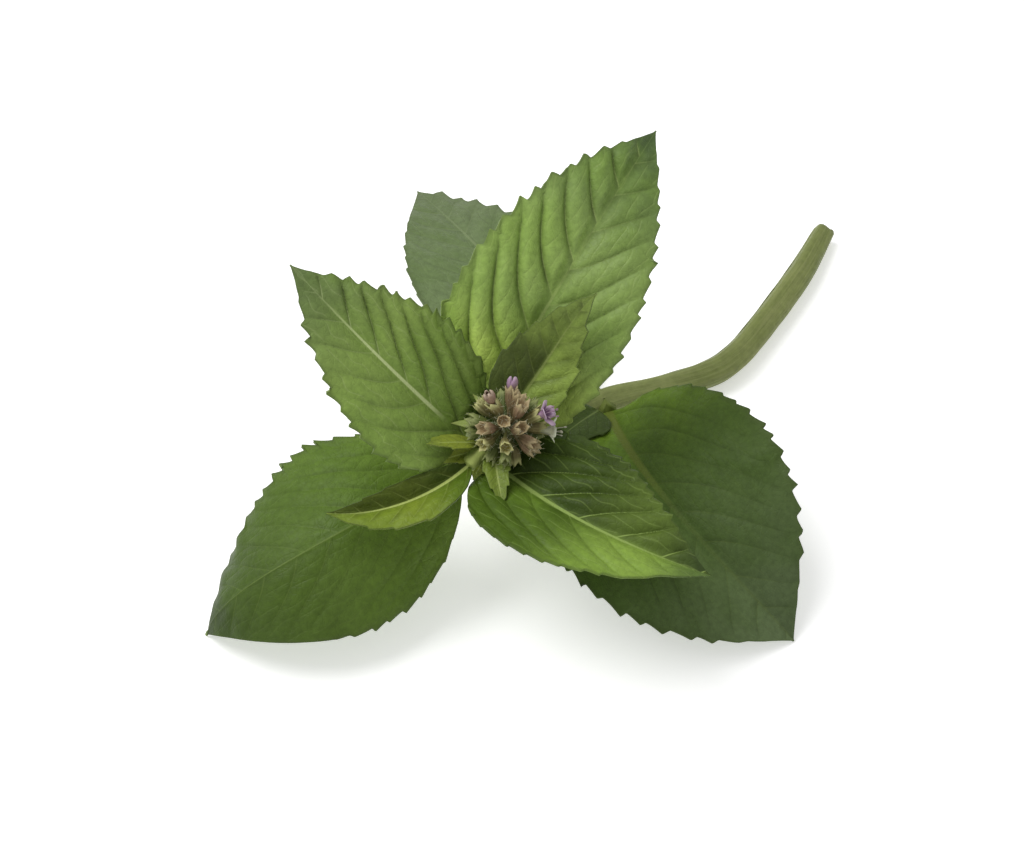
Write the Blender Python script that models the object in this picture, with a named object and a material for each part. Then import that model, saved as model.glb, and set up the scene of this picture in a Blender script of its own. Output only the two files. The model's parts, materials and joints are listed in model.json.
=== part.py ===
"""A cut mint sprig lying on a flat surface.

One squarish stem carries four crossed pairs of toothed leaves and, at its raised end, a young
flower head of calyces, florets and bracts. Metres, +Z up. The origin is on the surface, under
the middle of the sprig's bounding box.
"""

import math

import bmesh
import bpy
import numpy as np
from mathutils import Vector

MM = 0.001

# Where the sprig's own frame, whose origin is under the flower head, sits in the part's frame.
SPRIG_PLACE = (-5.28, -30.12, 0.04)

# ---- stem, in millimetres in the sprig's own frame: place and radius from the head to the cut
STEM_ROUTE = (
    ((-0.6, -0.2, 34.2), 2.1),
    ((-1.3, 0.7, 32.6), 1.5),
    ((-2.5, 2.0, 30.2), 1.5),
    ((-4.1, 2.3, 27.6), 1.2),
    ((-5.2, 2.6, 25.2), 1.7),
    ((-6.1, 4.9, 22.9), 1.3),
    ((-6.0, 8.6, 20.0), 2.0),
    ((-1.4, 15.5, 13.4), 1.6),
    ((7.5, 24.2, 6.2), 1.8),
    ((18.3, 32.8, 3.0), 2.5),
    ((26.7, 35.8, 2.6), 2.3),
    ((32.2, 37.4, 2.7), 2.5),
    ((37.7, 39.4, 2.8), 2.7),
    ((42.3, 42.4, 2.95), 2.8),
    ((47.5, 49.0, 2.9), 2.75),
    ((57.3, 65.0, 2.85), 2.7),
    ((63.7, 78.4, 2.3), 2.1),
)
STEM_STEPS = 3
STEM_SIDES = 8
SQUARENESS = 0.08

# ---- leaves: each pair grows from one node of the stem
NODE_UNDER_HEAD = (-2.5, 2.0, 30.2)
UPPER_NODE = (-5.2, 2.2, 25.2)
MIDDLE_NODE = (-6.0, 8.6, 20.0)
LOWER_NODE = (18.3, 32.8, 3.0)

# Angles in degrees, lengths in millimetres. heading and pitch aim the leaf where it leaves the
# stem; swerve, droop and hook turn it along its length; roll and twist turn it about its midrib;
# fold and curl (left, right) shape each half across; spread widens one half against the other;
# lobe is how far each half reaches back beside the petiole.
LEAVES = {
    "leaf_top_upper": dict(
        node=NODE_UNDER_HEAD, length=32.8, width=14.2, petiole=0.1, fullest=0.53, teeth=6,
        heading=57, swerve=-46, pitch=13, droop=-93, hook=58, roll=27, twist=14,
        fold=(20, 15), curl=(-12, -7), spread=(1.06, 0.91)),
    "leaf_top_lower": dict(
        node=NODE_UNDER_HEAD, length=36, width=10.4, petiole=0.19, fullest=0.79, teeth=6,
        heading=-117, swerve=-70, pitch=-2.2, droop=11.5, hook=-14, roll=-12, twist=-5,
        fold=(28, 34), curl=(-16, -9), spread=(1.05, 0.72)),
    "leaf_upper_left": dict(
        node=UPPER_NODE, length=50.8, width=28, petiole=0.1, fullest=0.58, teeth=11,
        heading=181, swerve=-42, pitch=54, droop=12, hook=16, roll=-12, twist=6,
        fold=(3, 18), curl=(-20, -11), spread=(0.97, 0.98), lobe=(0, 16)),
    "leaf_upper_right": dict(
        node=UPPER_NODE, length=50.8, width=29, petiole=0.1, fullest=0.65, teeth=11,
        heading=-57, swerve=43, pitch=12, droop=20, hook=5, roll=-1, twist=-8,
        fold=(18, 13), curl=(-18, 0), spread=(1.04, 1.06), lobe=(16, 1)),
    "leaf_middle_back": dict(
        node=MIDDLE_NODE, length=69, width=32.8, petiole=0.1, fullest=0.66, teeth=13,
        heading=36, swerve=27, pitch=66, droop=53, hook=11, roll=26, twist=2,
        fold=(17, 13), curl=(-9, -11), spread=(1.0, 0.96), lobe=(22, 26)),
    "leaf_middle_front": dict(
        node=MIDDLE_NODE, length=69, width=33.0, petiole=0.1, fullest=0.78, teeth=12,
        heading=-124, swerve=-57, pitch=12.2, droop=34, hook=57, roll=-23, twist=27,
        fold=(-20, 0), curl=(-22, -21), spread=(1.11, 1.2)),
    "leaf_lower_back": dict(
        node=LOWER_NODE, length=71, width=36, petiole=0.1, fullest=0.69, teeth=12,
        heading=125, swerve=-5, pitch=17, droop=40, hook=-5, roll=9, twist=-8,
        fold=(8, 2), curl=(-7, -10), spread=(1.09, 0.9)),
    "leaf_lower_front": dict(
        node=LOWER_NODE, length=72.4, width=44.6, petiole=0.09, fullest=0.96, teeth=13,
        heading=-88, swerve=59, pitch=34.5, droop=68, hook=11, roll=8, twist=4,
        fold=(20, 7), curl=(-4, -8), spread=(0.98, 1.0), lobe=(42, 34)),
}
LEAF_START = 3.3
LOBE_FADE = 5
LOBE_ROUNDNESS = 1.5
FOLD_OPENS_OVER = 0.12
OUTLINE_ROUNDNESS = 0.85
TOOTH_DEPTH = 1.1
TOOTH_LEAN = 1.0
TOOTH_PEAK = 0.7
TEETH_FROM, TEETH_TO = 0.17, 0.95
TIP_HALF_WIDTH = 0.25
PETIOLE_HALF_WIDTH = 0.85
PETIOLE_FLARE = 0.011
BLADE_THICKNESS = 0.5
KEEL_THICKNESS = 1.5
KEEL_SHARE = 0.056
KEEL_TAPER = 0.65
LEAF_COLUMNS = (-1.0, -0.6, -0.14, 0.0, 0.14, 0.6, 1.0)
MIDRIB_STEPS = 60

# ---- flower head: calyces on rings about the stem's top, tilt in degrees from the head's axis
HEAD_CENTRE = (-0.6, -0.2, 34.6)
HEAD_AXIS = (0.25, -0.45, 0.86)
CALYX_RINGS = ((20, 3), (50, 6), (78, 8), (104, 7))
CALYX_START = 2.75
CALYX_PROFILE = (
    (0.0, 0.0), (0.42, 0.02), (0.52, 0.9), (0.92, 1.9), (1.02, 2.9),
    (1.2, 3.9), (0.85, 3.8), (0.65, 2.8), (0.0, 2.5),
)
CALYX_TEETH = 5
CALYX_TOOTH_HEIGHT = 1.0
LIP_HEIGHT = 3.8

# Florets that have pushed out of a calyx: ring, place on the ring, and how far open each is.
OPEN_FLORETS = ((2, 5, 0.35), (1, 3, 0.7), (2, 3, 0.5), (1, 5, 0.35))
FLORET_START = 5.65
FLORET_LENGTH = 3.4
FLORET_LOBES = 4

# Bracts: turn about the head's axis, tilt from it, length and width.
BRACTS = ((98, 113, 5.8, 2.6), (194, 118, 6.5, 2.2), (312, 116, 7.0, 2.2), (355, 116, 7.5, 2.4))
BRACT_START = 2.9

LEAF_GREEN = {
    "leaf_top_upper": (0.075, 0.13, 0.035),
    "leaf_top_lower": (0.13, 0.21, 0.035),
    "leaf_upper_left": (0.15, 0.25, 0.065),
    "leaf_upper_right": (0.13, 0.22, 0.05),
    "leaf_middle_back": (0.18, 0.29, 0.08),
    "leaf_middle_front": (0.09, 0.15, 0.035),
    "leaf_lower_back": (0.13, 0.2, 0.08),
    "leaf_lower_front": (0.06, 0.09, 0.025),
}
STEM_OLIVE = (0.19, 0.22, 0.07)
CALYX_TAN = (0.22, 0.17, 0.1)
FLORET_LILAC = (0.42, 0.3, 0.45)
BRACT_GREEN = (0.2, 0.26, 0.06)


def clear_scene():
    for obj in list(bpy.data.objects):
        bpy.data.objects.remove(obj, do_unlink=True)


def plant_material(name, colour, roughness):
    material = bpy.data.materials.new(name)
    material.use_nodes = True
    shader = material.node_tree.nodes["Principled BSDF"]
    shader.inputs["Base Color"].default_value = (*colour, 1.0)
    shader.inputs["Roughness"].default_value = roughness
    shader.inputs["Metallic"].default_value = 0.0
    return material


def add_object(name, data, material, parent):
    obj = bpy.data.objects.new(name, data)
    bpy.context.scene.collection.objects.link(obj)
    if not data.materials:
        data.materials.append(material)
    obj.parent = parent
    return obj


def finished_mesh(name, bm, scale=MM):
    """The bmesh as a smooth-shaded mesh in metres."""
    bmesh.ops.scale(bm, vec=(scale, scale, scale), verts=bm.verts)
    mesh = bpy.data.meshes.new(name)
    bm.to_mesh(mesh)
    bm.free()
    mesh.shade_smooth()
    mesh.set_sharp_from_angle(angle=math.radians(50))
    return mesh


# ---- stem


def smooth_route(route, steps):
    """Places and radii on a smooth curve through the route's own points (Catmull-Rom)."""
    points = np.array([(*place, radius) for place, radius in route])
    padded = np.vstack([2 * points[0] - points[1], points, 2 * points[-1] - points[-2]])
    found = []
    for a, b, c, d in zip(padded, padded[1:], padded[2:], padded[3:]):
        for t in np.arange(steps) / steps:
            found.append(
                0.5 * (2 * b + (c - a) * t + (2 * a - 5 * b + 4 * c - d) * t**2
                       + (3 * b - a - 3 * c + d) * t**3))
    found.append(points[-1])
    return np.array(found)


def square_section():
    """A closed curve of radius 1, squared off a little as mint stems are."""
    curve = bpy.data.curves.new("stem_section", "CURVE")
    spline = curve.splines.new("POLY")
    spline.points.add(STEM_SIDES - 1)
    for k, point in enumerate(spline.points):
        angle = -math.tau * k / STEM_SIDES
        reach = 1.0 - SQUARENESS * math.cos(4 * angle)
        point.co = (reach * math.cos(angle), reach * math.sin(angle), 0.0, 1.0)
    spline.use_cyclic_u = True
    section = bpy.data.objects.new("stem_section", curve)
    bpy.context.scene.collection.objects.link(section)
    section.scale = (MM, MM, MM)
    section.hide_render = True
    section.display_type = "WIRE"
    return section


def build_stem(parent):
    curve = bpy.data.curves.new("stem", "CURVE")
    curve.dimensions = "3D"
    curve.bevel_mode = "OBJECT"
    curve.bevel_object = square_section()
    curve.use_fill_caps = True
    samples = smooth_route(STEM_ROUTE, STEM_STEPS)
    spline = curve.splines.new("POLY")
    spline.points.add(len(samples) - 1)
    for point, (x, y, z, radius) in zip(spline.points, samples):
        point.co = (x * MM, y * MM, z * MM, 1.0)
        point.radius = radius
    add_object("stem", curve, plant_material("stem", STEM_OLIVE, 0.5), parent)


# ---- leaves


def direction(heading, pitch):
    h, p = np.radians(heading), np.radians(pitch)
    return np.stack([np.cos(h) * np.cos(p), np.sin(h) * np.cos(p), np.sin(p)], axis=-1)


class Leaf:
    """One leaf's surface: place(t, q), t from stem to tip, q from right margin to left."""

    def __init__(self, sizes):
        self.sizes = sizes
        self.length = sizes["length"]
        self.t = np.linspace(0.0, 1.0, MIDRIB_STEPS + 1)
        heading = sizes["heading"] + sizes["swerve"] * self.t
        pitch = sizes["pitch"] - sizes["droop"] * self.t - sizes["hook"] * self.t**3
        self.along = direction(heading, pitch)
        steps = (self.along[1:] + self.along[:-1]) / 2 * self.length / MIDRIB_STEPS
        self.midrib = np.vstack([np.zeros(3), np.cumsum(steps, axis=0)]) + sizes["node"]
        across = direction(heading + 90, np.zeros_like(self.t))
        above = np.cross(self.along, across)
        roll = np.radians(sizes["roll"] + sizes["twist"] * self.t)[:, None]
        self.left = across * np.cos(roll) + above * np.sin(roll)
        self.up = above * np.cos(roll) - across * np.sin(roll)

    def at(self, track, t):
        return np.array([np.interp(t, self.t, track[:, k]) for k in range(3)])

    def half_width(self, t):
        s = self.sizes
        along_blade = min(max((t - s["petiole"]) / (1 - s["petiole"]), 0.0), 1.0)
        bulge = max(math.sin(math.pi * along_blade ** s["fullest"]), 0.0)
        blade = s["width"] / 2 * bulge**OUTLINE_ROUNDNESS
        least = PETIOLE_HALF_WIDTH + (TIP_HALF_WIDTH - PETIOLE_HALF_WIDTH) * t
        return max(blade, least)

    def place(self, t, q, tooth=0.0):
        """The surface point; a tooth pushes a margin point out and towards the tip."""
        s = self.sizes
        half = 0 if q > 0 else 1
        opened = min(max((t - s["petiole"] / 2) / FOLD_OPENS_OVER, 0.0), 1.0)
        fold, curl = math.radians(s["fold"][half]) * opened, math.radians(s["curl"][half])
        bend = curl / (s["width"] / 2) if curl else 1e-6
        reach = abs(q) * self.half_width(t) * s["spread"][half] + tooth * TOOTH_DEPTH
        beside = 2 * max(reach - PETIOLE_HALF_WIDTH, 0.0) / s["width"]
        back = s.get("lobe", (0, 0))[half] * beside**LOBE_ROUNDNESS * (1 - t) ** LOBE_FADE
        t = min(t + tooth * TOOTH_LEAN / self.length, 1.0)
        out = (math.sin(fold + bend * reach) - math.sin(fold)) / bend
        rise = (math.cos(fold) - math.cos(fold + bend * reach)) / bend
        side = math.copysign(1.0, q) if q else 0.0
        across = self.at(self.left, t) * out * side + self.at(self.up, t) * rise
        return self.at(self.midrib, t) + across - self.at(self.along, t) * back


def leaf_rows(leaf):
    """Stations from the stem to the tip as (t, tooth): two to each tooth, its notch and its peak."""
    petiole = leaf.sizes["petiole"]
    start, flare = LEAF_START / leaf.length, petiole + PETIOLE_FLARE
    stations = (petiole - PETIOLE_FLARE, flare, (flare + TEETH_FROM) / 2)
    rows = [(start, 0.0)] + [(t, 0.0) for t in stations if t > start + PETIOLE_FLARE]
    teeth = leaf.sizes["teeth"]
    pitch = (TEETH_TO - TEETH_FROM) / teeth
    for k in range(teeth):
        size = 1.0 - 0.5 * k / teeth
        rows.append((TEETH_FROM + k * pitch, 0.0))
        rows.append((TEETH_FROM + (k + TOOTH_PEAK) * pitch, size))
    return rows + [(TEETH_TO, 0.0), (1.0, 0.0)]


def build_leaf(name, sizes, parent):
    leaf = Leaf(sizes)
    rows = leaf_rows(leaf)
    last_row, last_column = len(rows) - 1, len(LEAF_COLUMNS) - 1
    bm = bmesh.new()
    bmesh.ops.create_grid(bm, x_segments=last_column, y_segments=last_row, size=0.5)
    thickness = bm.verts.layers.deform.verify()
    for vert in bm.verts:
        t, tooth = rows[round((vert.co.y + 0.5) * last_row)]
        q = LEAF_COLUMNS[round((0.5 - vert.co.x) * last_column)]
        round_petiole = math.sqrt(1 - q * q) if t < sizes["petiole"] else float(q == 0)
        keel = min(KEEL_THICKNESS, KEEL_SHARE * sizes["width"]) * (1 - KEEL_TAPER * t) * round_petiole
        vert[thickness][0] = max(keel, BLADE_THICKNESS) / KEEL_THICKNESS
        vert.co = leaf.place(t, q, tooth if abs(q) == 1 else 0.0)
    mesh = finished_mesh(name, bm)
    obj = add_object(name, mesh, plant_material(name, LEAF_GREEN[name], 0.55), parent)
    group = obj.vertex_groups.new(name="thickness")
    wall = obj.modifiers.new("wall", "SOLIDIFY")
    wall.thickness = KEEL_THICKNESS * MM
    wall.offset = -1.0
    wall.vertex_group = group.name


# ---- flower head


def turned(profile, sides):
    """A closed body turned from (radius, height) pairs that start and end on its axis."""
    bm = bmesh.new()
    verts = [bm.verts.new((radius, 0.0, height)) for radius, height in profile]
    edges = [bm.edges.new(pair) for pair in zip(verts, verts[1:])]
    bmesh.ops.spin(
        bm, geom=verts + edges, axis=(0, 0, 1), cent=(0, 0, 0), angle=math.tau,
        steps=sides, use_merge=True)
    bmesh.ops.remove_doubles(bm, verts=bm.verts, dist=1e-4)
    bmesh.ops.recalc_face_normals(bm, faces=bm.faces)
    return bm


def corner_number(vert, sides):
    return round(math.atan2(vert.co.y, vert.co.x) / math.tau * sides) % sides


def calyx_mesh():
    """A ribbed cup with pointed teeth round its open mouth."""
    sides = 2 * CALYX_TEETH
    bm = turned(CALYX_PROFILE, sides)
    for vert in bm.verts:
        if vert.co.z >= LIP_HEIGHT - 0.05 and corner_number(vert, sides) % 2 == 0:
            vert.co.z += CALYX_TOOTH_HEIGHT
    return finished_mesh("calyx", bm)


def floret_mesh(name, openness):
    """A short tube that flares into lobes; a small openness leaves it a bud."""
    sides = 2 * FLORET_LOBES
    lip = 0.75 + 0.75 * openness
    bm = turned(
        ((0.0, 0.0), (0.4, 0.05), (0.55, 1.2), (lip, FLORET_LENGTH), (lip * 0.6, FLORET_LENGTH - 0.1),
         (0.0, 1.9)), sides)
    for vert in bm.verts:
        if vert.co.z > FLORET_LENGTH - 0.2 and corner_number(vert, sides) % 2:
            vert.co.xy *= 0.7
            vert.co.z -= 0.5
    return finished_mesh(name, bm)


def bract_mesh(name, length, width):
    """A narrow pointed leaflet, flat and slightly hollow, growing along +Z."""
    bm = bmesh.new()
    bmesh.ops.create_grid(bm, x_segments=4, y_segments=6, size=0.5)
    for vert in bm.verts:
        across, along = vert.co.x * 2, vert.co.y + 0.5
        half = max(width / 2 * math.sin(math.pi * along**0.75), 0.2)
        vert.co = (across * half, -0.25 * half * across**2 - 1.2 * along**2, along * length)
    return finished_mesh(name, bm)


def head_direction(tilt, turn):
    """A unit vector from the head's centre, by tilt from the head's axis and turn about it."""
    axis = Vector(HEAD_AXIS).normalized()
    side = axis.cross(Vector((0, 1, 0))).normalized()
    other = axis.cross(side)
    tilt, turn = math.radians(tilt), math.radians(turn)
    return axis * math.cos(tilt) + (side * math.cos(turn) + other * math.sin(turn)) * math.sin(tilt)


def stand_on_head(obj, tilt, turn, start):
    aim = head_direction(tilt, turn)
    obj.location = (Vector(HEAD_CENTRE) + aim * start) * MM
    obj.rotation_mode = "QUATERNION"
    obj.rotation_quaternion = aim.to_track_quat("Z", "Y")


def ring_turn(ring, place):
    count = CALYX_RINGS[ring][1]
    return 360.0 * place / count + 24.0 * ring


def build_flower_head(parent):
    calyx = calyx_mesh()
    tan = plant_material("calyx", CALYX_TAN, 0.7)
    for ring, (tilt, count) in enumerate(CALYX_RINGS):
        for place in range(count):
            obj = add_object(f"calyx_{ring + 1}_{place + 1}", calyx, tan, parent)
            stand_on_head(obj, tilt, ring_turn(ring, place), CALYX_START)
    lilac = plant_material("floret", FLORET_LILAC, 0.5)
    for number, (ring, place, openness) in enumerate(OPEN_FLORETS):
        name = f"floret_{number + 1}"
        obj = add_object(name, floret_mesh(name, openness), lilac, parent)
        stand_on_head(obj, CALYX_RINGS[ring][0], ring_turn(ring, place), FLORET_START)
    green = plant_material("bract", BRACT_GREEN, 0.6)
    for number, (turn, tilt, length, width) in enumerate(BRACTS):
        name = f"bract_{number + 1}"
        obj = add_object(name, bract_mesh(name, length, width), green, parent)
        stand_on_head(obj, tilt, turn, BRACT_START)
        wall = obj.modifiers.new("wall", "SOLIDIFY")
        wall.thickness = BLADE_THICKNESS * MM
        wall.offset = 0.0


def main():
    clear_scene()
    sprig = bpy.data.objects.new("sprig", None)
    bpy.context.scene.collection.objects.link(sprig)
    sprig.location = Vector(SPRIG_PLACE) * MM
    build_stem(sprig)
    for name, sizes in LEAVES.items():
        build_leaf(name, sizes, sprig)
    build_flower_head(sprig)


main()
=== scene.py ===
"""The looks of a cut mint sprig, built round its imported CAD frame.

Each leaf is a dense sheet on the same surface as its CAD node, with raised puffs between its veins,
a channelled midrib and a toothed margin. The stem, the calyces, the florets and the bracts are
finer versions of their CAD nodes. Sizes are in millimetres in the sprig's own frame, whose origin
is under the flower head, until a mesh is finished in metres in the part's frame.
"""

import json
import logging
import math
from dataclasses import dataclass, replace
from enum import Enum
from functools import cached_property

import bmesh
import bpy
import numpy as np
from mathutils import Matrix, Vector

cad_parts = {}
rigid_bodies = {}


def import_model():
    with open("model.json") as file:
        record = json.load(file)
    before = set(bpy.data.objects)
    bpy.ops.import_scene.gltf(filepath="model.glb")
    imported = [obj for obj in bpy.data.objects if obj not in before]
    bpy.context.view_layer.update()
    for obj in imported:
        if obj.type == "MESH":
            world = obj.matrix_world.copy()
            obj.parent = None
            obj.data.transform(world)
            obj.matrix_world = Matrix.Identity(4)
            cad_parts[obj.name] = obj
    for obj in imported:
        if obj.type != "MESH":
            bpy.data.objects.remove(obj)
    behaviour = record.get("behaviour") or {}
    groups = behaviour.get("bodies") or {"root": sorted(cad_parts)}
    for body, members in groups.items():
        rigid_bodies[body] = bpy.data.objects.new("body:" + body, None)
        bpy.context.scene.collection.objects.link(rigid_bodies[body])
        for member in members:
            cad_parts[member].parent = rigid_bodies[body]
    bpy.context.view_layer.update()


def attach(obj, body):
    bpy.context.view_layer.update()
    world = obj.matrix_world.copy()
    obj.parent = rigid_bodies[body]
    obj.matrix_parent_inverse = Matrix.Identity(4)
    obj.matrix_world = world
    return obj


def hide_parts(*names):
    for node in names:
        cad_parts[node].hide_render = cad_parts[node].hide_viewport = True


LOG = logging.getLogger("mint_sprig")

MM = 0.001
SPRIG_PLACE = np.array((-5.28, -30.12, 0.04))
BODY = "root"
WHITE = (1.0, 1.0, 1.0, 1.0)

# The margin and the petiole of every leaf.
TEETH_FROM, TEETH_TO = 0.17, 0.95
TOOTH_PEAK = 0.74
TOOTH_LEAN = 0.22
TOOTH_HOLLOW = 1.55
TOOTH_SIZES = (0.55, 1.25)
OUTLINE_ROUNDNESS = 0.85
TIP_DRAWN_OUT = 0.22
TIP_HALF_WIDTH = 0.14
PETIOLE_HALF_WIDTH = 0.85
LOBE_FADE = 5
LOBE_ROUNDNESS = 1.5
FOLD_OPENS_OVER = 0.12
MIDRIB_STEPS = 60

# The relief of every leaf, in millimetres.
CROSS_VEIN_SPACING = 2.3
VEIN_WANDER_LENGTH = 14.0
CROSS_WANDER_LENGTH = 6.0
PUFF_WAVE_LENGTH = 11.0
BLADE_WAVE_LENGTH, BLADE_WAVE_HEIGHT = 9.0, 0.45
QUILT_HEIGHT = 0.09
CHANNEL_DEPTH, CHANNEL_WIDTH = 0.3, 1.1
RIDGE_HEIGHT, RIDGE_WIDTH = 0.22, 0.34
VEIN_BELOW, VEIN_BELOW_WIDTH = 0.28, 0.3
KEEL_WIDTH = 0.55
PETIOLE_ROUND_ABOVE = 0.35
PETIOLE_ROUND_BELOW, PETIOLE_EDGE = 1.45, 0.25

# Names of the mesh attributes that the finishes read, and the millimetres to a unit of the skin's.
SKIN = "skin"
PHASE = "vein_phase"
CROSS = "cross_phase"
EDGE = "edge"
HALF = "half"
INSIDE = "inside"
SKIN_UNIT = 10

# Points nearer to each other than this many millimetres are merged.
SAME_PLACE = 1e-4


def tone(red: int, green: int, blue: int) -> tuple[float, float, float, float]:
    """A display colour, 0 to 255 a channel, as the linear colour that a shader takes.

    Args:
        red: the red channel.
        green: the green channel.
        blue: the blue channel.

    Returns:
        Red, green, blue and an alpha of 1, linear.
    """
    linear = [((c / 255 + 0.055) / 1.055) ** 2.4 if c > 10 else c / 255 / 12.92 for c in (red, green, blue)]
    return (*linear, 1.0)


def smoothstep(low: float, high: float, value: np.ndarray) -> np.ndarray:
    """0 below low, 1 above high, and an even rise between them.

    Args:
        low: where the rise starts.
        high: where the rise ends.
        value: the numbers to map.

    Returns:
        The mapped numbers, each from 0 to 1.
    """
    x = np.clip((value - low) / (high - low), 0.0, 1.0)
    return x * x * (3 - 2 * x)


def direction(heading: np.ndarray, pitch: np.ndarray) -> np.ndarray:
    """Unit vectors at a heading round +Z from +X and a pitch above the horizon.

    Args:
        heading: degrees round +Z.
        pitch: degrees above the horizon.

    Returns:
        The unit vectors, one to a row.
    """
    h, p = np.radians(heading), np.radians(pitch)
    return np.stack([np.cos(h) * np.cos(p), np.sin(h) * np.cos(p), np.sin(p)], axis=-1)


def ripple(x: np.ndarray, y: np.ndarray, wavelength: float, seed: int) -> np.ndarray:
    """A smooth irregular wave over the plane, made of a few crossing sine waves.

    Args:
        x: first coordinate.
        y: second coordinate.
        wavelength: about how far apart the crests are.
        seed: which wave.

    Returns:
        Heights from -1 to 1.
    """
    rng = np.random.default_rng(seed)
    waves = 5
    total = np.zeros(np.broadcast(x, y).shape)
    spans = ((0, math.tau), (0, math.tau), (0.7, 1.4))
    turns, starts, stretches = (rng.uniform(*span, waves) for span in spans)
    for turn, start, stretch in zip(turns, starts, stretches):
        k = math.tau / (wavelength * stretch)
        total += np.sin(k * (x * math.cos(turn) + y * math.sin(turn)) + start)
    return total / waves


def new_object(name: str, content: bpy.types.ID) -> bpy.types.Object:
    """A new object in the scene.

    Args:
        name: the object's name.
        content: the mesh, lamp or camera that it holds.

    Returns:
        The object.
    """
    made = bpy.data.objects.new(name, content)
    bpy.context.scene.collection.objects.link(made)
    return made


# Wiring of materials


@dataclass
class Wiring:
    """Adds nodes to one node tree, a call to each."""

    tree: bpy.types.NodeTree

    def node(self, kind: str, **settings: object) -> bpy.types.Node:
        """A new node of this kind, with its properties set."""
        made = self.tree.nodes.new(kind)
        for name, value in settings.items():
            setattr(made, name, value)
        return made

    def plug(self, socket: bpy.types.NodeSocket, value: object) -> None:
        """Links a socket to an output, or sets it to a constant."""
        if isinstance(value, bpy.types.NodeSocket):
            self.tree.links.new(value, socket)
        else:
            socket.default_value = value

    def fed(self, kind: str, inputs: dict[str, object], **settings: object) -> bpy.types.bpy_prop_collection:
        """The outputs of a new node, with its inputs and properties set."""
        made = self.node(kind, **settings)
        for name, value in inputs.items():
            self.plug(made.inputs[name], value)
        return made.outputs

    def math(self, operation: str, *values: object) -> bpy.types.NodeSocket:
        """The result of a Math node on numbers or outputs."""
        made = self.node("ShaderNodeMath", operation=operation)
        for socket, value in zip(made.inputs, values):
            self.plug(socket, value)
        return made.outputs[0]

    def times(self, product: object, *factors: object) -> bpy.types.NodeSocket:
        """The product of outputs and numbers."""
        for factor in factors:
            product = self.math("MULTIPLY", product, factor)
        return product

    def mix(self, share: object, first: object, second: object, blend: str = "MIX") -> bpy.types.NodeSocket:
        """Two colours mixed by a share of the second."""
        made = self.node("ShaderNodeMix", data_type="RGBA", blend_type=blend)
        for socket, value in zip((made.inputs["Factor"], *made.inputs[6:8]), (share, first, second)):
            self.plug(socket, value)
        return made.outputs[2]

    def shaded(self, colour: object, shade: bpy.types.NodeSocket) -> bpy.types.NodeSocket:
        """A colour multiplied by a number."""
        grey = self.node("ShaderNodeCombineColor")
        for socket in grey.inputs[:3]:
            self.plug(socket, shade)
        return self.mix(1.0, colour, grey.outputs[0], "MULTIPLY")

    def rise(
        self, value: object, low: object, high: object, start: float = 0.0, end: float = 1.0
    ) -> bpy.types.NodeSocket:
        """A smooth step of value from start at low to end at high."""
        inputs = {"Value": value, "From Min": low, "From Max": high, "To Min": start, "To Max": end}
        return self.fed("ShaderNodeMapRange", inputs, interpolation_type="SMOOTHSTEP")[0]

    def attribute(self, name: str, output: str = "Fac") -> bpy.types.NodeSocket:
        """A mesh attribute, as a number or as a vector."""
        return self.node("ShaderNodeAttribute", attribute_name=name).outputs[output]

    def skin(self) -> list:
        """The skin attribute's three numbers."""
        made = self.node("ShaderNodeSeparateXYZ")
        self.plug(made.inputs[0], self.attribute(SKIN, "Vector"))
        return list(made.outputs)

    def noise(self, vector: object, scale: object, detail: float, rough: float = 0.5) -> bpy.types.NodeSocket:
        """A Noise texture's value at a vector."""
        inputs = {"Vector": vector, "Scale": scale, "Detail": detail, "Roughness": rough}
        return self.fed("ShaderNodeTexNoise", inputs)["Fac"]

    def cells(self, feature: str, vector: object, scale: object) -> bpy.types.NodeSocket:
        """A Voronoi texture's distance at a vector."""
        inputs = {"Vector": vector, "Scale": scale}
        return self.fed("ShaderNodeTexVoronoi", inputs, feature=feature)["Distance"]


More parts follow.
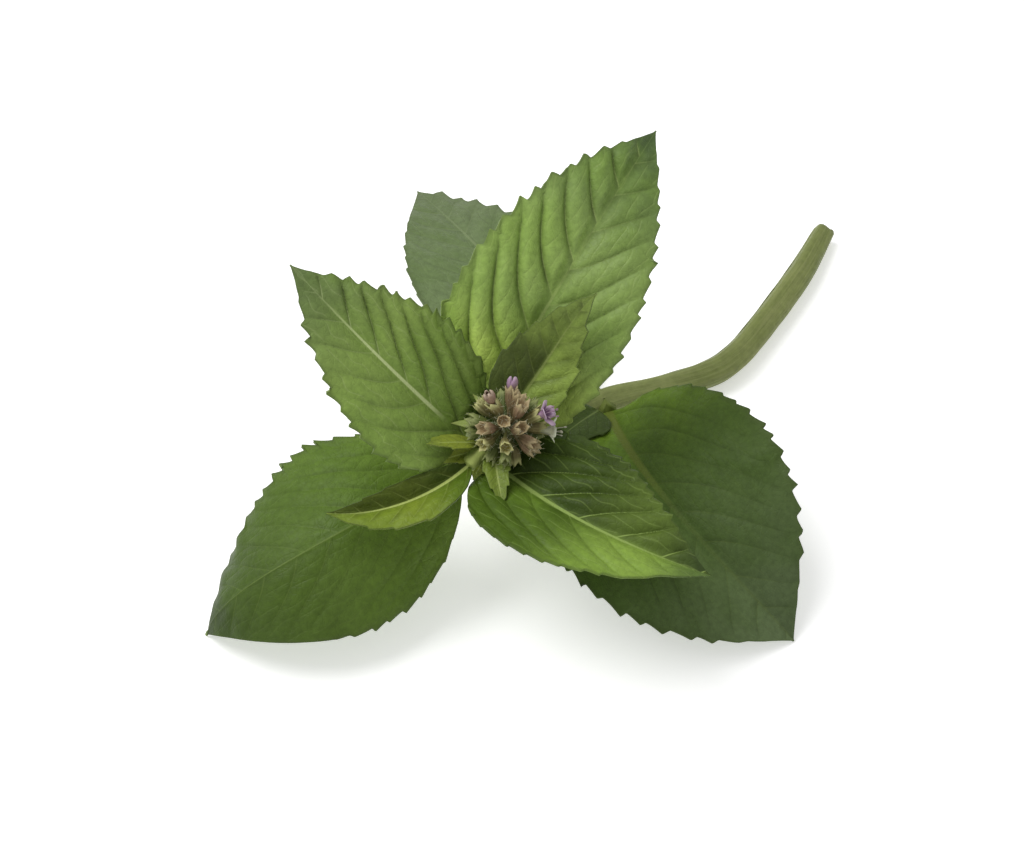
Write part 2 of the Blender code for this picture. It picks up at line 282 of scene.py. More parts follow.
class Groups:
    """The shader node groups, each made once and placed in every material that uses it."""

    @staticmethod
    def start(name: str, inputs: dict[str, object], outputs: dict[str, str]) -> tuple:
        """An empty group with its sockets.

        Args:
            name: the group's name.
            inputs: each input's name and default; a tuple makes it a colour.
            outputs: each output's name and kind.

        Returns:
            The wiring of the new group, what it is given and what it puts out.
        """
        tree = bpy.data.node_groups.new(name, "ShaderNodeTree")
        for label, default in inputs.items():
            kind = "NodeSocketColor" if isinstance(default, tuple) else "NodeSocketFloat"
            tree.interface.new_socket(label, in_out="INPUT", socket_type=kind).default_value = default
        for label, kind in outputs.items():
            tree.interface.new_socket(label, in_out="OUTPUT", socket_type=f"NodeSocket{kind}")
        w = Wiring(tree)
        return w, w.node("NodeGroupInput").outputs, w.node("NodeGroupOutput").inputs

    @cached_property
    def venation(self) -> bpy.types.NodeTree:
        """The vein pattern of a leaf, and a band of painted shade beside each side vein; their lines follow
        the leaf's own phase attributes.
        """
        masks = ("Midrib", "Veins", "Painted Crease Shade", "Net", "Height")
        sizes = {"Spacing": 6.0, "Midrib Width": 0.6, "Vein Width": 0.2}
        sizes |= {"Crease Width": 1.0, "Crease Ahead": 0.0}
        w, given, result = self.start("venation", sizes, dict.fromkeys(masks, "Float"))
        across, _, along = w.skin()
        edge, phase = w.attribute(EDGE), w.attribute(PHASE)
        taper = w.math("SUBTRACT", 1.0, w.times(along, 0.9))
        midrib_width = w.times(given["Midrib Width"], taper)
        from_midrib = w.times(w.math("ABSOLUTE", across), float(SKIN_UNIT))
        midrib = w.rise(from_midrib, midrib_width, w.times(midrib_width, 0.45))
        near = w.math("PINGPONG", phase, 0.5)
        width = w.times(given["Vein Width"], w.math("SUBTRACT", 1.25, edge))
        veins = w.rise(w.times(near, given["Spacing"], 0.75), width, 0.0)
        # Painted shade: a dark band on one side of each side vein, on the side that Crease Ahead picks to
        # suit the light. It is uneven along its length and fades out towards the margin.
        ahead = w.math("SUBTRACT", 1.0, given["Crease Ahead"])
        lee = w.times(w.math("ABSOLUTE", w.math("SUBTRACT", ahead, w.math("FRACT", phase))), given["Spacing"])
        uneven = w.rise(w.noise(w.attribute(SKIN, "Vector"), 1.3, 1.0), 0.35, 0.65, 0.35, 1.0)
        band = w.math("POWER", w.rise(lee, given["Crease Width"], 0.0), 1.5)
        painted_creases = w.times(band, uneven, w.rise(edge, 1.0, 0.55))
        cross = w.math("PINGPONG", w.attribute(CROSS), 0.5)
        net = w.times(w.rise(cross, 0.09, 0.0), w.rise(near, 0.06, 0.2))
        fine = w.rise(w.cells("DISTANCE_TO_EDGE", w.attribute(SKIN, "Vector"), 9.0), 0.0, 0.12)
        height = w.math("ADD", w.times(fine, 0.6), w.times(net, -0.6))
        for name, value in zip(masks, (midrib, veins, painted_creases, net, height)):
            w.plug(result[name], value)
        return w.tree

    @cached_property
    def mottle(self) -> bpy.types.NodeTree:
        """Uneven colour: broad patches and small flecks round a main colour."""
        grey = (0.5, 0.5, 0.5, 1.0)
        looks = {"Color": grey, "Patch Color": grey, "Patch Scale": 90.0, "Amount": 0.6}
        w, given, result = self.start("mottle", looks, {"Color": "Color"})
        place = w.node("ShaderNodeTexCoord").outputs["Object"]
        broad = w.rise(w.noise(place, given["Patch Scale"], 3.0), 0.35, 0.68)
        fleck = w.noise(place, w.times(given["Patch Scale"], 11.0), 2.0)
        patched = w.mix(w.times(broad, given["Amount"]), given["Color"], given["Patch Color"])
        w.plug(result["Color"], w.shaded(patched, w.rise(fleck, 0.2, 0.8, 0.88, 1.12)))
        return w.tree

    @cached_property
    def grain(self) -> bpy.types.NodeTree:
        """The fine skin of a green plant: the height of its small soft cells, and how dull it is."""
        outputs = dict.fromkeys(("Height", "Dullness"), "Float")
        w, given, result = self.start("grain", {"Cell Scale": 2600.0}, outputs)
        place, scale = w.node("ShaderNodeTexCoord").outputs["Object"], given["Cell Scale"]
        domes = w.times(w.cells("SMOOTH_F1", place, scale), -0.5)
        w.plug(result["Height"], w.math("ADD", domes, w.noise(place, w.times(scale, 0.3), 3.0)))
        w.plug(result["Dullness"], w.noise(place, w.times(scale, 0.06), 2.0))
        return w.tree


GROUPS = Groups()


class Surface(Wiring):
    """A new material with a Principled shader."""

    def __init__(self, name: str) -> None:
        """Makes the material and finds its shader."""
        self.material = bpy.data.materials.new(name)
        self.material.use_nodes = True
        super().__init__(self.material.node_tree)
        self.shader = self.tree.nodes["Principled BSDF"]

    def set(self, **values: object) -> None:
        """Sets or links the shader's inputs, each named with _ for a space."""
        for name, value in values.items():
            self.plug(self.shader.inputs[name.replace("_", " ")], value)

    def group(self, tree: bpy.types.NodeTree, **values: object) -> bpy.types.bpy_prop_collection:
        """Places a node group with its inputs set, each named with _ for a space, and gives its outputs."""
        inputs = {name.replace("_", " "): value for name, value in values.items()}
        return self.fed("ShaderNodeGroup", inputs, node_tree=tree)

    def mottled(
        self, colour: object, patch: tuple, scale: float, amount: float = 0.6
    ) -> bpy.types.NodeSocket:
        """A colour with patches of another."""
        inputs = {"Color": colour, "Patch Color": patch, "Patch Scale": scale, "Amount": amount}
        return self.fed("ShaderNodeGroup", inputs, node_tree=GROUPS.mottle)["Color"]

    def grained(
        self, scale: float, strength: float, distance: float, others: object = None, roughness: tuple = ()
    ) -> None:
        """Gives the shader the grain of a plant's skin.

        Args:
            scale: how small the cells are.
            strength: how strong the bump is, from 0 to 1.
            distance: how high a height of 1 stands, in metres.
            others: a height to add half of the grain to, or None for the grain alone.
            roughness: the least and the most roughness, or empty to leave it as it is.
        """
        grain = self.group(GROUPS.grain, Cell_Scale=scale)
        height = grain["Height"]
        if others is not None:
            height = self.math("ADD", others, self.times(height, 0.5))
        if roughness:
            self.set(Roughness=self.rise(grain["Dullness"], 0.3, 0.7, *roughness))
        inputs = {"Strength": strength, "Distance": distance, "Height": height}
        self.set(Normal=self.fed("ShaderNodeBump", inputs)[0])


@dataclass(frozen=True)
class LeafFinish:
    """The colours of one leaf's upper side and underside, the light and shade painted on each half and beside
    its side veins, and how strong its veins show.

    Colours are display colours, 0 to 255 a channel. Places along the leaf run from 0 at the stem to 1
    at the tip, widths are in millimetres, and a pair is for the left half and the right.
    """

    green: tuple
    patch: tuple
    tip: tuple
    vein: tuple
    under: tuple
    margin: tuple = (70, 84, 44)
    base: tuple = (120, 132, 60)
    base_from: float = 0.04
    base_to: float = 0.22
    tip_from: float = 0.6
    midrib_width: float = 0.6
    vein_width: float = 0.2
    vein_show: float = 0.35
    # Painted shade in the fold beside each side vein: how wide the band is, how dark it is, and which side of
    # the vein it lies on.
    crease_width: float = 2.4
    painted_crease_shade: float = 0.6
    crease_ahead: float = 0.0
    midrib_show: float = 0.95
    midrib_from: float = -1.0
    midrib_end: float = 1.0
    # Painted light and shade: each half's colour is scaled for how the light falls on it, and returns to its
    # own colour towards the tip from the place given next. The pair after that scales both the vein lines and
    # the painted shade beside them, half by half.
    painted_half_shade: tuple = (1.0, 1.0)
    painted_shade_until: float = 1.5
    half_veins_and_shade: tuple = (1.0, 1.0)
    gloss: float = 0.22
    roughness: tuple = (0.42, 0.6)

    def by_half(self, s: Surface, pair: tuple) -> bpy.types.NodeSocket:
        """A value for each half, blended across the midrib."""
        return s.rise(s.attribute(HALF), -0.1, 0.1, pair[1], pair[0])

    def upper(self, name: str, spacing: float) -> bpy.types.Material:
        """The finish of the upper side.

        Args:
            name: the leaf's name.
            spacing: distance between side veins along the midrib, in millimetres.

        Returns:
            The material.
        """
        s = Surface(f"{name}_upper")
        veins = s.group(
            GROUPS.venation, Spacing=spacing, Midrib_Width=self.midrib_width, Vein_Width=self.vein_width,
            Crease_Width=self.crease_width, Crease_Ahead=self.crease_ahead)
        along, edge = s.skin()[2], s.attribute(EDGE)
        green, vein = tone(*self.green), tone(*self.vein)
        ground = s.mix(s.rise(along, self.tip_from, 1.0), green, tone(*self.tip))
        ground = s.mix(s.rise(along, self.base_to, self.base_from), ground, tone(*self.base))
        colour = s.mottled(ground, tone(*self.patch), 85.0)
        # Painted light and shade: each half is made darker or lighter for how the light falls on it, fading
        # out towards the tip where a leaf sets that.
        near_stem = s.rise(along, self.painted_shade_until, self.painted_shade_until - 0.2)
        change = s.math("SUBTRACT", self.by_half(s, self.painted_half_shade), 1.0)
        colour = s.shaded(colour, s.math("MULTIPLY_ADD", change, near_stem, 1.0))
        # Painted shade beside the side veins, in a dark green. The same per-half strength scales it and the
        # vein lines.
        veins_and_shade = self.by_half(s, self.half_veins_and_shade)
        painted_shade_green = (*(0.35 * c for c in green[:3]), 1.0)
        colour = s.mix(s.times(veins["Painted Crease Shade"], veins_and_shade, self.painted_crease_shade), colour, painted_shade_green)
        colour = s.mix(s.times(s.rise(edge, 0.93, 1.0), 0.5), colour, tone(*self.margin))
        colour = s.mix(s.times(veins["Net"], 0.35 * self.vein_show), colour, vein)
        inwards = s.rise(edge, 1.0, 0.3, 0.25, 1.0)
        colour = s.mix(s.times(veins["Veins"], veins_and_shade, inwards, self.vein_show), colour, vein)
        to_tip = s.rise(along, self.midrib_end, self.midrib_end - 0.35, 0.12, self.midrib_show)
        from_stem = s.rise(along, self.midrib_from, self.midrib_from + 0.12)
        colour = s.mix(s.times(veins["Midrib"], to_tip, from_stem), colour, vein)
        s.set(Base_Color=colour, Specular_IOR_Level=self.gloss)
        s.grained(2400.0, 0.35, 0.00025, s.times(veins["Height"], 0.7), roughness=self.roughness)
        return s.material

    def underside(self, name: str, spacing: float) -> bpy.types.Material:
        """The finish of the underside: paler, duller, with raised veins.

        Args:
            name: the leaf's name.
            spacing: distance between side veins along the midrib, in millimetres.

        Returns:
            The material.
        """
        s = Surface(f"{name}_under")
        veins = s.group(
            GROUPS.venation, Spacing=spacing, Midrib_Width=self.midrib_width * 1.3,
            Vein_Width=self.vein_width * 1.8, Crease_Width=self.crease_width)
        vein = tone(*self.vein)
        colour = s.mottled(tone(*self.under), tone(*self.green), 70.0, 0.35)
        colour = s.mix(s.times(veins["Net"], 0.35), colour, vein)
        colour = s.mix(s.times(veins["Veins"], 0.7), colour, vein)
        to_tip = s.rise(s.skin()[2], 0.95, 0.7, 0.0, 0.9)
        colour = s.mix(s.times(veins["Midrib"], to_tip), colour, vein)
        s.set(Base_Color=colour, Specular_IOR_Level=0.2)
        s.grained(2000.0, 0.4, 0.0003, s.times(veins["Net"], 0.8), roughness=(0.6, 0.75))
        return s.material


@dataclass(frozen=True)
class StemFinish:
    """Olive skin with long streaks, purplish between the lower nodes, and a pale cut end."""

    olive: tuple = tone(112, 122, 66)
    pale: tuple = tone(140, 146, 92)
    purple: tuple = tone(104, 92, 82)
    pith: tuple = tone(176, 182, 138)
    purple_from: float = 2.4
    purple_to: float = 4.4

    def skin(self) -> bpy.types.Material:
        """The finish of the stem's skin."""
        s = Surface("stem_skin")
        stretched = s.node("ShaderNodeMapping")
        s.plug(stretched.inputs["Vector"], s.attribute(SKIN, "Vector"))
        stretched.inputs["Scale"].default_value = (3.5, 3.5, 0.5)
        streaks = s.rise(s.noise(stretched.outputs[0], 2.2, 4.0, 0.6), 0.35, 0.7)
        colour = s.mix(s.times(streaks, 0.5), s.mottled(self.olive, self.pale, 70.0, 0.5), self.pale)
        along = s.skin()[2]
        start = s.rise(along, self.purple_from - 1.0, self.purple_from)
        end = s.rise(along, self.purple_to + 1.2, self.purple_to)
        colour = s.mix(s.times(start, end, s.rise(streaks, 0.0, 1.0, 0.85, 0.45)), colour, self.purple)
        s.set(Base_Color=colour, Specular_IOR_Level=0.25)
        s.grained(2600.0, 0.3, 0.0002, streaks, roughness=(0.4, 0.6))
        return s.material

    def cut(self) -> bpy.types.Material:
        """The finish of the cut end: pale, wet-looking pith."""
        s = Surface("stem_cut")
        s.set(Base_Color=s.mottled(self.pith, self.olive, 700.0, 0.5), Roughness=0.45)
        s.grained(4000.0, 0.5, 0.0002)
        return s.material


@dataclass(frozen=True)
class TubeFinish:
    """A small turned piece of the flower head: its foot, wall, ribs, rim and dark throat."""

    name: str
    foot: tuple
    wall: tuple
    rim: tuple
    rib: tuple
    throat: tuple = tone(62, 50, 38)
    rib_count: int = 10
    rib_show: float = 0.5
    rim_from: float = 0.7
    roughness: float = 0.6

    def material(self) -> bpy.types.Material:
        """The finish, whose bands follow the piece from its foot to its rim."""
        s = Surface(self.name)
        east, north, height = s.skin()
        turn = s.times(s.math("ARCTAN2", north, east), float(self.rib_count))
        ribs = s.rise(s.math("COSINE", turn), 0.3, 1.0)
        colour = s.mix(s.rise(height, 0.05, 0.5), self.foot, self.wall)
        colour = s.mix(s.times(ribs, self.rib_show), s.mottled(colour, self.foot, 420.0), self.rib)
        colour = s.mix(s.rise(height, self.rim_from, 0.95, 0.0, 0.95), colour, self.rim)
        colour = s.mix(s.times(s.attribute(INSIDE), s.rise(height, 1.0, 0.75)), colour, self.throat)
        s.set(Base_Color=colour, Roughness=self.roughness, Specular_IOR_Level=0.3)
        s.grained(5000.0, 0.4, 0.00012)
        return s.material


# Pieces


def finished_object(
    name: str, bm: bmesh.types.BMesh, materials: list, node: str | None
) -> bpy.types.Object:
    """Turns a bmesh in sprig millimetres into a piece in metres that rides on the frame.

    Args:
        name: the piece's name.
        bm: the shape; it is freed.
        materials: the piece's materials, in the order that its faces count them.
        node: the CAD node that the piece stands for, or None.

    Returns:
        The piece.
    """
    for vert in bm.verts:
        vert.co = (vert.co + Vector(SPRIG_PLACE)) * MM
    mesh = bpy.data.meshes.new(name)
    bm.to_mesh(mesh)
    bm.free()
    for material in materials:
        mesh.materials.append(material)
    mesh.shade_smooth()
    piece = new_object(name, mesh)
    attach(piece, BODY)
    if node:
        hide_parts(node)
    LOG.info("%s: %d faces", name, len(mesh.polygons))
    return piece


def write_attribute(mesh: bpy.types.Mesh, name: str, values: np.ndarray) -> None:
    """Stores a number or a vector on every vertex of a mesh.

    Args:
        mesh: the mesh.
        name: the attribute's name.
        values: one number or one row of three to a vertex.
    """
    is_vector = values.ndim == 2
    made = mesh.attributes.new(name, "FLOAT_VECTOR" if is_vector else "FLOAT", "POINT")
    made.data.foreach_set("vector" if is_vector else "value", values.astype(np.float32).ravel())


def sheet(columns: int, rows: int) -> tuple[bmesh.types.BMesh, np.ndarray, np.ndarray]:
    """A flat grid, 1 wide and 1 long, to be bent into a piece.

    Args:
        columns: how many faces it is wide.
        rows: how many faces it is long.

    Returns:
        The grid, and for each vertex the number of its column and of its row.
    """
    bm = bmesh.new()
    bmesh.ops.create_grid(bm, x_segments=columns, y_segments=rows, size=0.5)
    flat = np.array([vert.co[:2] for vert in bm.verts]) + 0.5
    return bm, np.rint(flat[:, 0] * columns).astype(int), np.rint(flat[:, 1] * rows).astype(int)


def add_wall(piece: bpy.types.Object, thickness: float, offset: float) -> bpy.types.Modifier:
    """Gives a sheet its thickness.

    Args:
        piece: the sheet.
        thickness: how thick, in millimetres.
        offset: -1 to add it behind the sheet, 0 to both sides.

    Returns:
        The modifier.
    """
    solid = piece.modifiers.new("wall", "SOLIDIFY")
    solid.thickness = thickness * MM
    solid.offset = offset
    return solid


@dataclass(frozen=True, kw_only=True)
class LeafSizes:
    """One leaf as its CAD node states it, and its veins.

    Angles are in degrees, lengths in millimetres, and a pair is for the left half and the right.
    heading and pitch aim the leaf where it leaves the stem; swerve, droop and hook turn it along its
    length; roll and twist turn it about its midrib; fold, curl and spread shape each half across, and
    lobe is how far each half reaches back beside the petiole. tooth_depth is how far the teeth stand
    out, and teeth_until is where they end. spacing, slope and arch lay out the side veins, and puff is
    how high each half stands between them. blade and keel are how thick the blade and midrib are.
    """

    name: str
    slot: str
    node: tuple
    length: float
    width: float
    fullest: float
    teeth: int
    heading: float
    pitch: float
    roll: float
    fold: tuple
    curl: tuple
    spacing: float
    puff: tuple
    seed: int
    petiole: float = 0.1
    swerve: float = 0
    droop: float = 0
    hook: float = 0
    twist: float = 0
    spread: tuple = (1.0, 1.0)
    lobe: tuple = (0.0, 0.0)
    tooth_depth: tuple = (0.9, 0.9)
    teeth_until: tuple = (0.97, 0.97)
    slope: tuple = (0.84, 0.84)
    arch: float = 0.045
    rows: int = 300
    columns: int = 150
    blade: float = 0.34
    keel: float = 1.1
    in_frame: bool = True


@dataclass(frozen=True, kw_only=True)
class LeafletSizes(LeafSizes):
    """A small leaf at a node of the stem, which has no CAD node."""

    slot: str = "leaf_young"
    petiole: float = 0.06
    spacing: float = 1.9
    puff: tuple = (0.15, 0.15)
    tooth_depth: tuple = (0.25, 0.25)
    rows: int = 60
    columns: int = 30
    blade: float = 0.22
    keel: float = 0.4
    in_frame: bool = False


@dataclass
class Leaf:
    """One leaf: petiole, blade, veins and margin teeth.

    Its sheet is a grid of points. t runs from the stem to the tip and q from the right margin to the
    left, x and y are distances along the midrib and to the left of it in millimetres, and phase and
    cross count the side veins and the cross veins, which lie on their whole numbers.
    """

    sizes: LeafSizes
    finish: LeafFinish
    start: float = 1.0

    def __post_init__(self) -> None:
        """Works out the midrib's line, the leaf's own axes along it and the grid of its sheet."""
        s = self.sizes
        self.stations = np.linspace(0.0, 1.0, MIDRIB_STEPS + 1)
        heading = s.heading + s.swerve * self.stations
        pitch = s.pitch - s.droop * self.stations - s.hook * self.stations**3
        self.along = direction(heading, pitch)
        steps = (self.along[1:] + self.along[:-1]) / 2 * s.length / MIDRIB_STEPS
        self.midrib = np.vstack([np.zeros(3), np.cumsum(steps, axis=0)]) + s.node
        across = direction(heading + 90, np.zeros_like(self.stations))
        above = np.cross(self.along, across)
        roll = np.radians(s.roll + s.twist * self.stations)[:, None]
        self.left = across * np.cos(roll) + above * np.sin(roll)
        self.up = above * np.cos(roll) - across * np.sin(roll)
        rows, columns = np.linspace(self.start / s.length, 1, s.rows + 1), np.linspace(-1, 1, s.columns + 1)
        self.t, q = np.meshgrid(rows, columns, indexing="ij")
        self.q = np.where(np.abs(q) < 1e-9, 0.0, q)
        self.x, self.y = self.t * s.length, self.q * self.half_width() * self.by_half(s.spread)
        self.phase, self.cross = self.veins()

    def at(self, track: np.ndarray, t: np.ndarray) -> np.ndarray:
        """A track along the midrib, read at t."""
        return np.stack([np.interp(t, self.stations, track[:, k]) for k in range(3)], axis=-1)

    def by_half(self, pair: tuple) -> np.ndarray:
        """A pair's value for the half that each point is on."""
        return np.where(self.q > 0, pair[0], pair[1])

    def half_width(self) -> np.ndarray:
        """Half the blade's width, without teeth.

        Returns:
            The half width at each point's t.
        """
        s, t = self.sizes, self.t
        along_blade = np.clip((t - s.petiole) / (1 - s.petiole), 0.0, 1.0)
        bulge = np.clip(np.sin(math.pi * along_blade**s.fullest), 0.0, 1.0)
        least = PETIOLE_HALF_WIDTH + (TIP_HALF_WIDTH - PETIOLE_HALF_WIDTH) * t
        return np.maximum(s.width / 2 * bulge ** (OUTLINE_ROUNDNESS + TIP_DRAWN_OUT * t**5), least)

    def teeth(self) -> np.ndarray:
        """How far each point of the margin stands out as a tooth.

        Returns:
            0 in a notch and about 1 at a large tooth's point, fading into the blade.
        """
        s, t = self.sizes, self.t
        side = (self.q > 0).astype(int)
        place = (t - TEETH_FROM) / (TEETH_TO - TEETH_FROM) * s.teeth
        place = place + 0.1 * np.sin(2.3 * place + s.seed + 1.3 * side)
        number = np.floor(place)
        part = place - number
        rising, falling = (part / TOOTH_PEAK) ** TOOTH_HOLLOW, (1 - part) / (1 - TOOTH_PEAK)
        shape = np.where(part < TOOTH_PEAK, rising, falling)
        vigour = np.random.default_rng(s.seed).uniform(*TOOTH_SIZES, (2, s.teeth + 2))
        until = self.by_half(s.teeth_until)
        size = vigour[side, np.clip(number, 0, s.teeth + 1).astype(int)]
        size = (1 - smoothstep(until - 0.2, until, t)) * size * smoothstep(s.petiole, s.petiole + 0.12, t)
        on_margin = (t >= TEETH_FROM) & (t < TEETH_TO)
        return np.where(on_margin, shape * size, 0.0) * smoothstep(0.7, 1.0, np.abs(self.q))

    def surface(self, tooth: np.ndarray) -> np.ndarray:
        """Points of the leaf's smooth surface.

        Args:
            tooth: how far each point stands out as a tooth.

        Returns:
            The points, in sprig millimetres.
        """
        s, t = self.sizes, self.t
        opened = np.clip((t - s.petiole / 2) / FOLD_OPENS_OVER, 0.0, 1.0)
        fold, curl = np.radians(self.by_half(s.fold)) * opened, np.radians(self.by_half(s.curl))
        bend = np.where(curl == 0, 1e-6, curl / (s.width / 2))
        reach = np.abs(self.q) * self.half_width() * self.by_half(s.spread)
        reach = reach + tooth * self.by_half(s.tooth_depth)
        beside = 2 * np.maximum(reach - PETIOLE_HALF_WIDTH, 0.0) / s.width
        back = self.by_half(s.lobe) * beside**LOBE_ROUNDNESS * (1 - t) ** LOBE_FADE
        t = np.minimum(t + tooth * TOOTH_LEAN * (TEETH_TO - TEETH_FROM) / s.teeth, 1.0)
        out = (np.sin(fold + bend * reach) - np.sin(fold)) / bend * np.sign(self.q)
        rise = (np.cos(fold) - np.cos(fold + bend * reach)) / bend
        across = self.at(self.left, t) * out[..., None] + self.at(self.up, t) * rise[..., None]
        return self.at(self.midrib, t) + across - self.at(self.along, t) * back[..., None]

    def wave(self, length: float, number: int) -> np.ndarray:
        """An irregular wave over the blade, different for each number."""
        return ripple(self.x, self.y, length, self.sizes.seed + number)

    def veins(self) -> tuple[np.ndarray, np.ndarray]:
        """Two counts over the blade whose whole numbers are its side veins and its cross veins.

        Returns:
            The side veins' count and the cross veins' count.
        """
        s, y = self.sizes, self.y
        wander, shift = 0.12 * self.wave(VEIN_WANDER_LENGTH, 1), self.by_half((0.0, 0.22))
        phase = (self.x - np.abs(y) * self.by_half(s.slope) - s.arch * y**2) / s.spacing + wander + shift
        jog = np.random.default_rng(s.seed + 2).uniform(0, 1, 64)[np.floor(phase).astype(int) % 64]
        return phase, np.abs(y) / CROSS_VEIN_SPACING + jog + 0.3 * self.wave(CROSS_WANDER_LENGTH, 3)

    def relief(self) -> np.ndarray:
        """How far the upper side stands above the smooth surface.

        Returns:
            The heights, in millimetres.
        """
        s, t, y, beside = self.sizes, self.t, self.y, np.abs(self.q)
        on_blade = smoothstep(s.petiole, s.petiole + 0.08, t) * (1 - smoothstep(0.86, 1.0, t))
        flat_parts = on_blade * smoothstep(0.3, 2.6, np.abs(y)) * (1 - 0.75 * smoothstep(0.6, 1.0, beside))
        puffed = np.sin(math.pi * (self.phase - np.floor(self.phase)) ** 0.85) ** 0.65
        height = self.by_half(s.puff) * (1 + 0.25 * self.wave(PUFF_WAVE_LENGTH, 4))
        side_veins = height * flat_parts * (puffed - 0.45)
        quilt = QUILT_HEIGHT * flat_parts * puffed * (np.abs(np.sin(math.pi * self.cross)) ** 0.6 - 0.6)
        channel = -CHANNEL_DEPTH * np.exp(-((y / CHANNEL_WIDTH) ** 2)) * (1 - 0.6 * t)
        ridge = RIDGE_HEIGHT * np.exp(-((y / RIDGE_WIDTH) ** 2)) * (1 - 0.8 * t)
        wave = BLADE_WAVE_HEIGHT * smoothstep(0.35, 1.0, beside) * on_blade * self.wave(BLADE_WAVE_LENGTH, 5)
        in_petiole = 1 - smoothstep(s.petiole - 0.02, s.petiole + 0.04, t)
        rounded = in_petiole * PETIOLE_ROUND_ABOVE * np.sqrt(np.clip(1 - beside**2, 0, 1))
        return side_veins + quilt + (channel + ridge) * (1 - in_petiole) + wave + rounded

    def thickness(self) -> np.ndarray:
        """The leaf's thickness, with its midrib and veins standing out below.

        Returns:
            The thicknesses, in millimetres.
        """
        s, t, beside = self.sizes, self.t, np.abs(self.q)
        near = np.abs(self.phase - np.round(self.phase)) * s.spacing * 0.75
        vein = VEIN_BELOW * np.exp(-((near / VEIN_BELOW_WIDTH) ** 2)) * (1 - smoothstep(0.5, 0.95, beside))
        rib = s.keel * (1 - 0.75 * t) * np.exp(-((self.y / KEEL_WIDTH) ** 2))
        in_petiole = 1 - smoothstep(s.petiole - 0.02, s.petiole + 0.05, t)
        round_below = PETIOLE_EDGE + PETIOLE_ROUND_BELOW * np.sqrt(np.clip(1 - beside**2, 0, 1))
        thinned = 1 - 0.65 * smoothstep(0.88, 1.0, t)
        return (s.blade + vein + rib) * thinned * (1 - in_petiole) + round_below * in_petiole

    def build(self) -> None:
        """Models the leaf and dresses it."""
        s, t, q = self.sizes, self.t, self.q
        bm, from_left, row = sheet(s.columns, s.rows)
        column = s.columns - from_left
        down_row, down_column = np.gradient(self.surface(np.zeros_like(t)), axis=(0, 1))
        normal = np.cross(down_column, -down_row)
        normal *= np.sign(np.sum(normal * self.at(self.up, t), axis=-1, keepdims=True))
        normal /= np.maximum(np.linalg.norm(normal, axis=-1, keepdims=True), 1e-9)
        places = self.surface(self.teeth()) + normal * self.relief()[..., None]
        wall = self.thickness()
        thickest = float(wall.max())
        group = bm.verts.layers.deform.verify()
        for vert, place, weight in zip(bm.verts, places[row, column], wall[row, column] / thickest):
            vert.co = place
            vert[group][0] = weight
        materials = [self.finish.upper(s.name, s.spacing), self.finish.underside(s.name, s.spacing)]
        name, node = (f"fine_{s.name}", s.name) if s.in_frame else (s.name, None)
        piece = finished_object(name, bm, materials, node)
        skin = np.stack([self.y / SKIN_UNIT, self.x / SKIN_UNIT, t], axis=-1)
        written = {SKIN: skin, PHASE: self.phase + 20.0, CROSS: self.cross, EDGE: np.abs(q), HALF: q}
        for attribute, values in written.items():
            write_attribute(piece.data, attribute, values[row, column])
        solid = add_wall(piece, thickest, -1.0)
        solid.vertex_group = piece.vertex_groups.new(name="thickness").name
        solid.material_offset = 1
        solid.material_offset_rim = 0


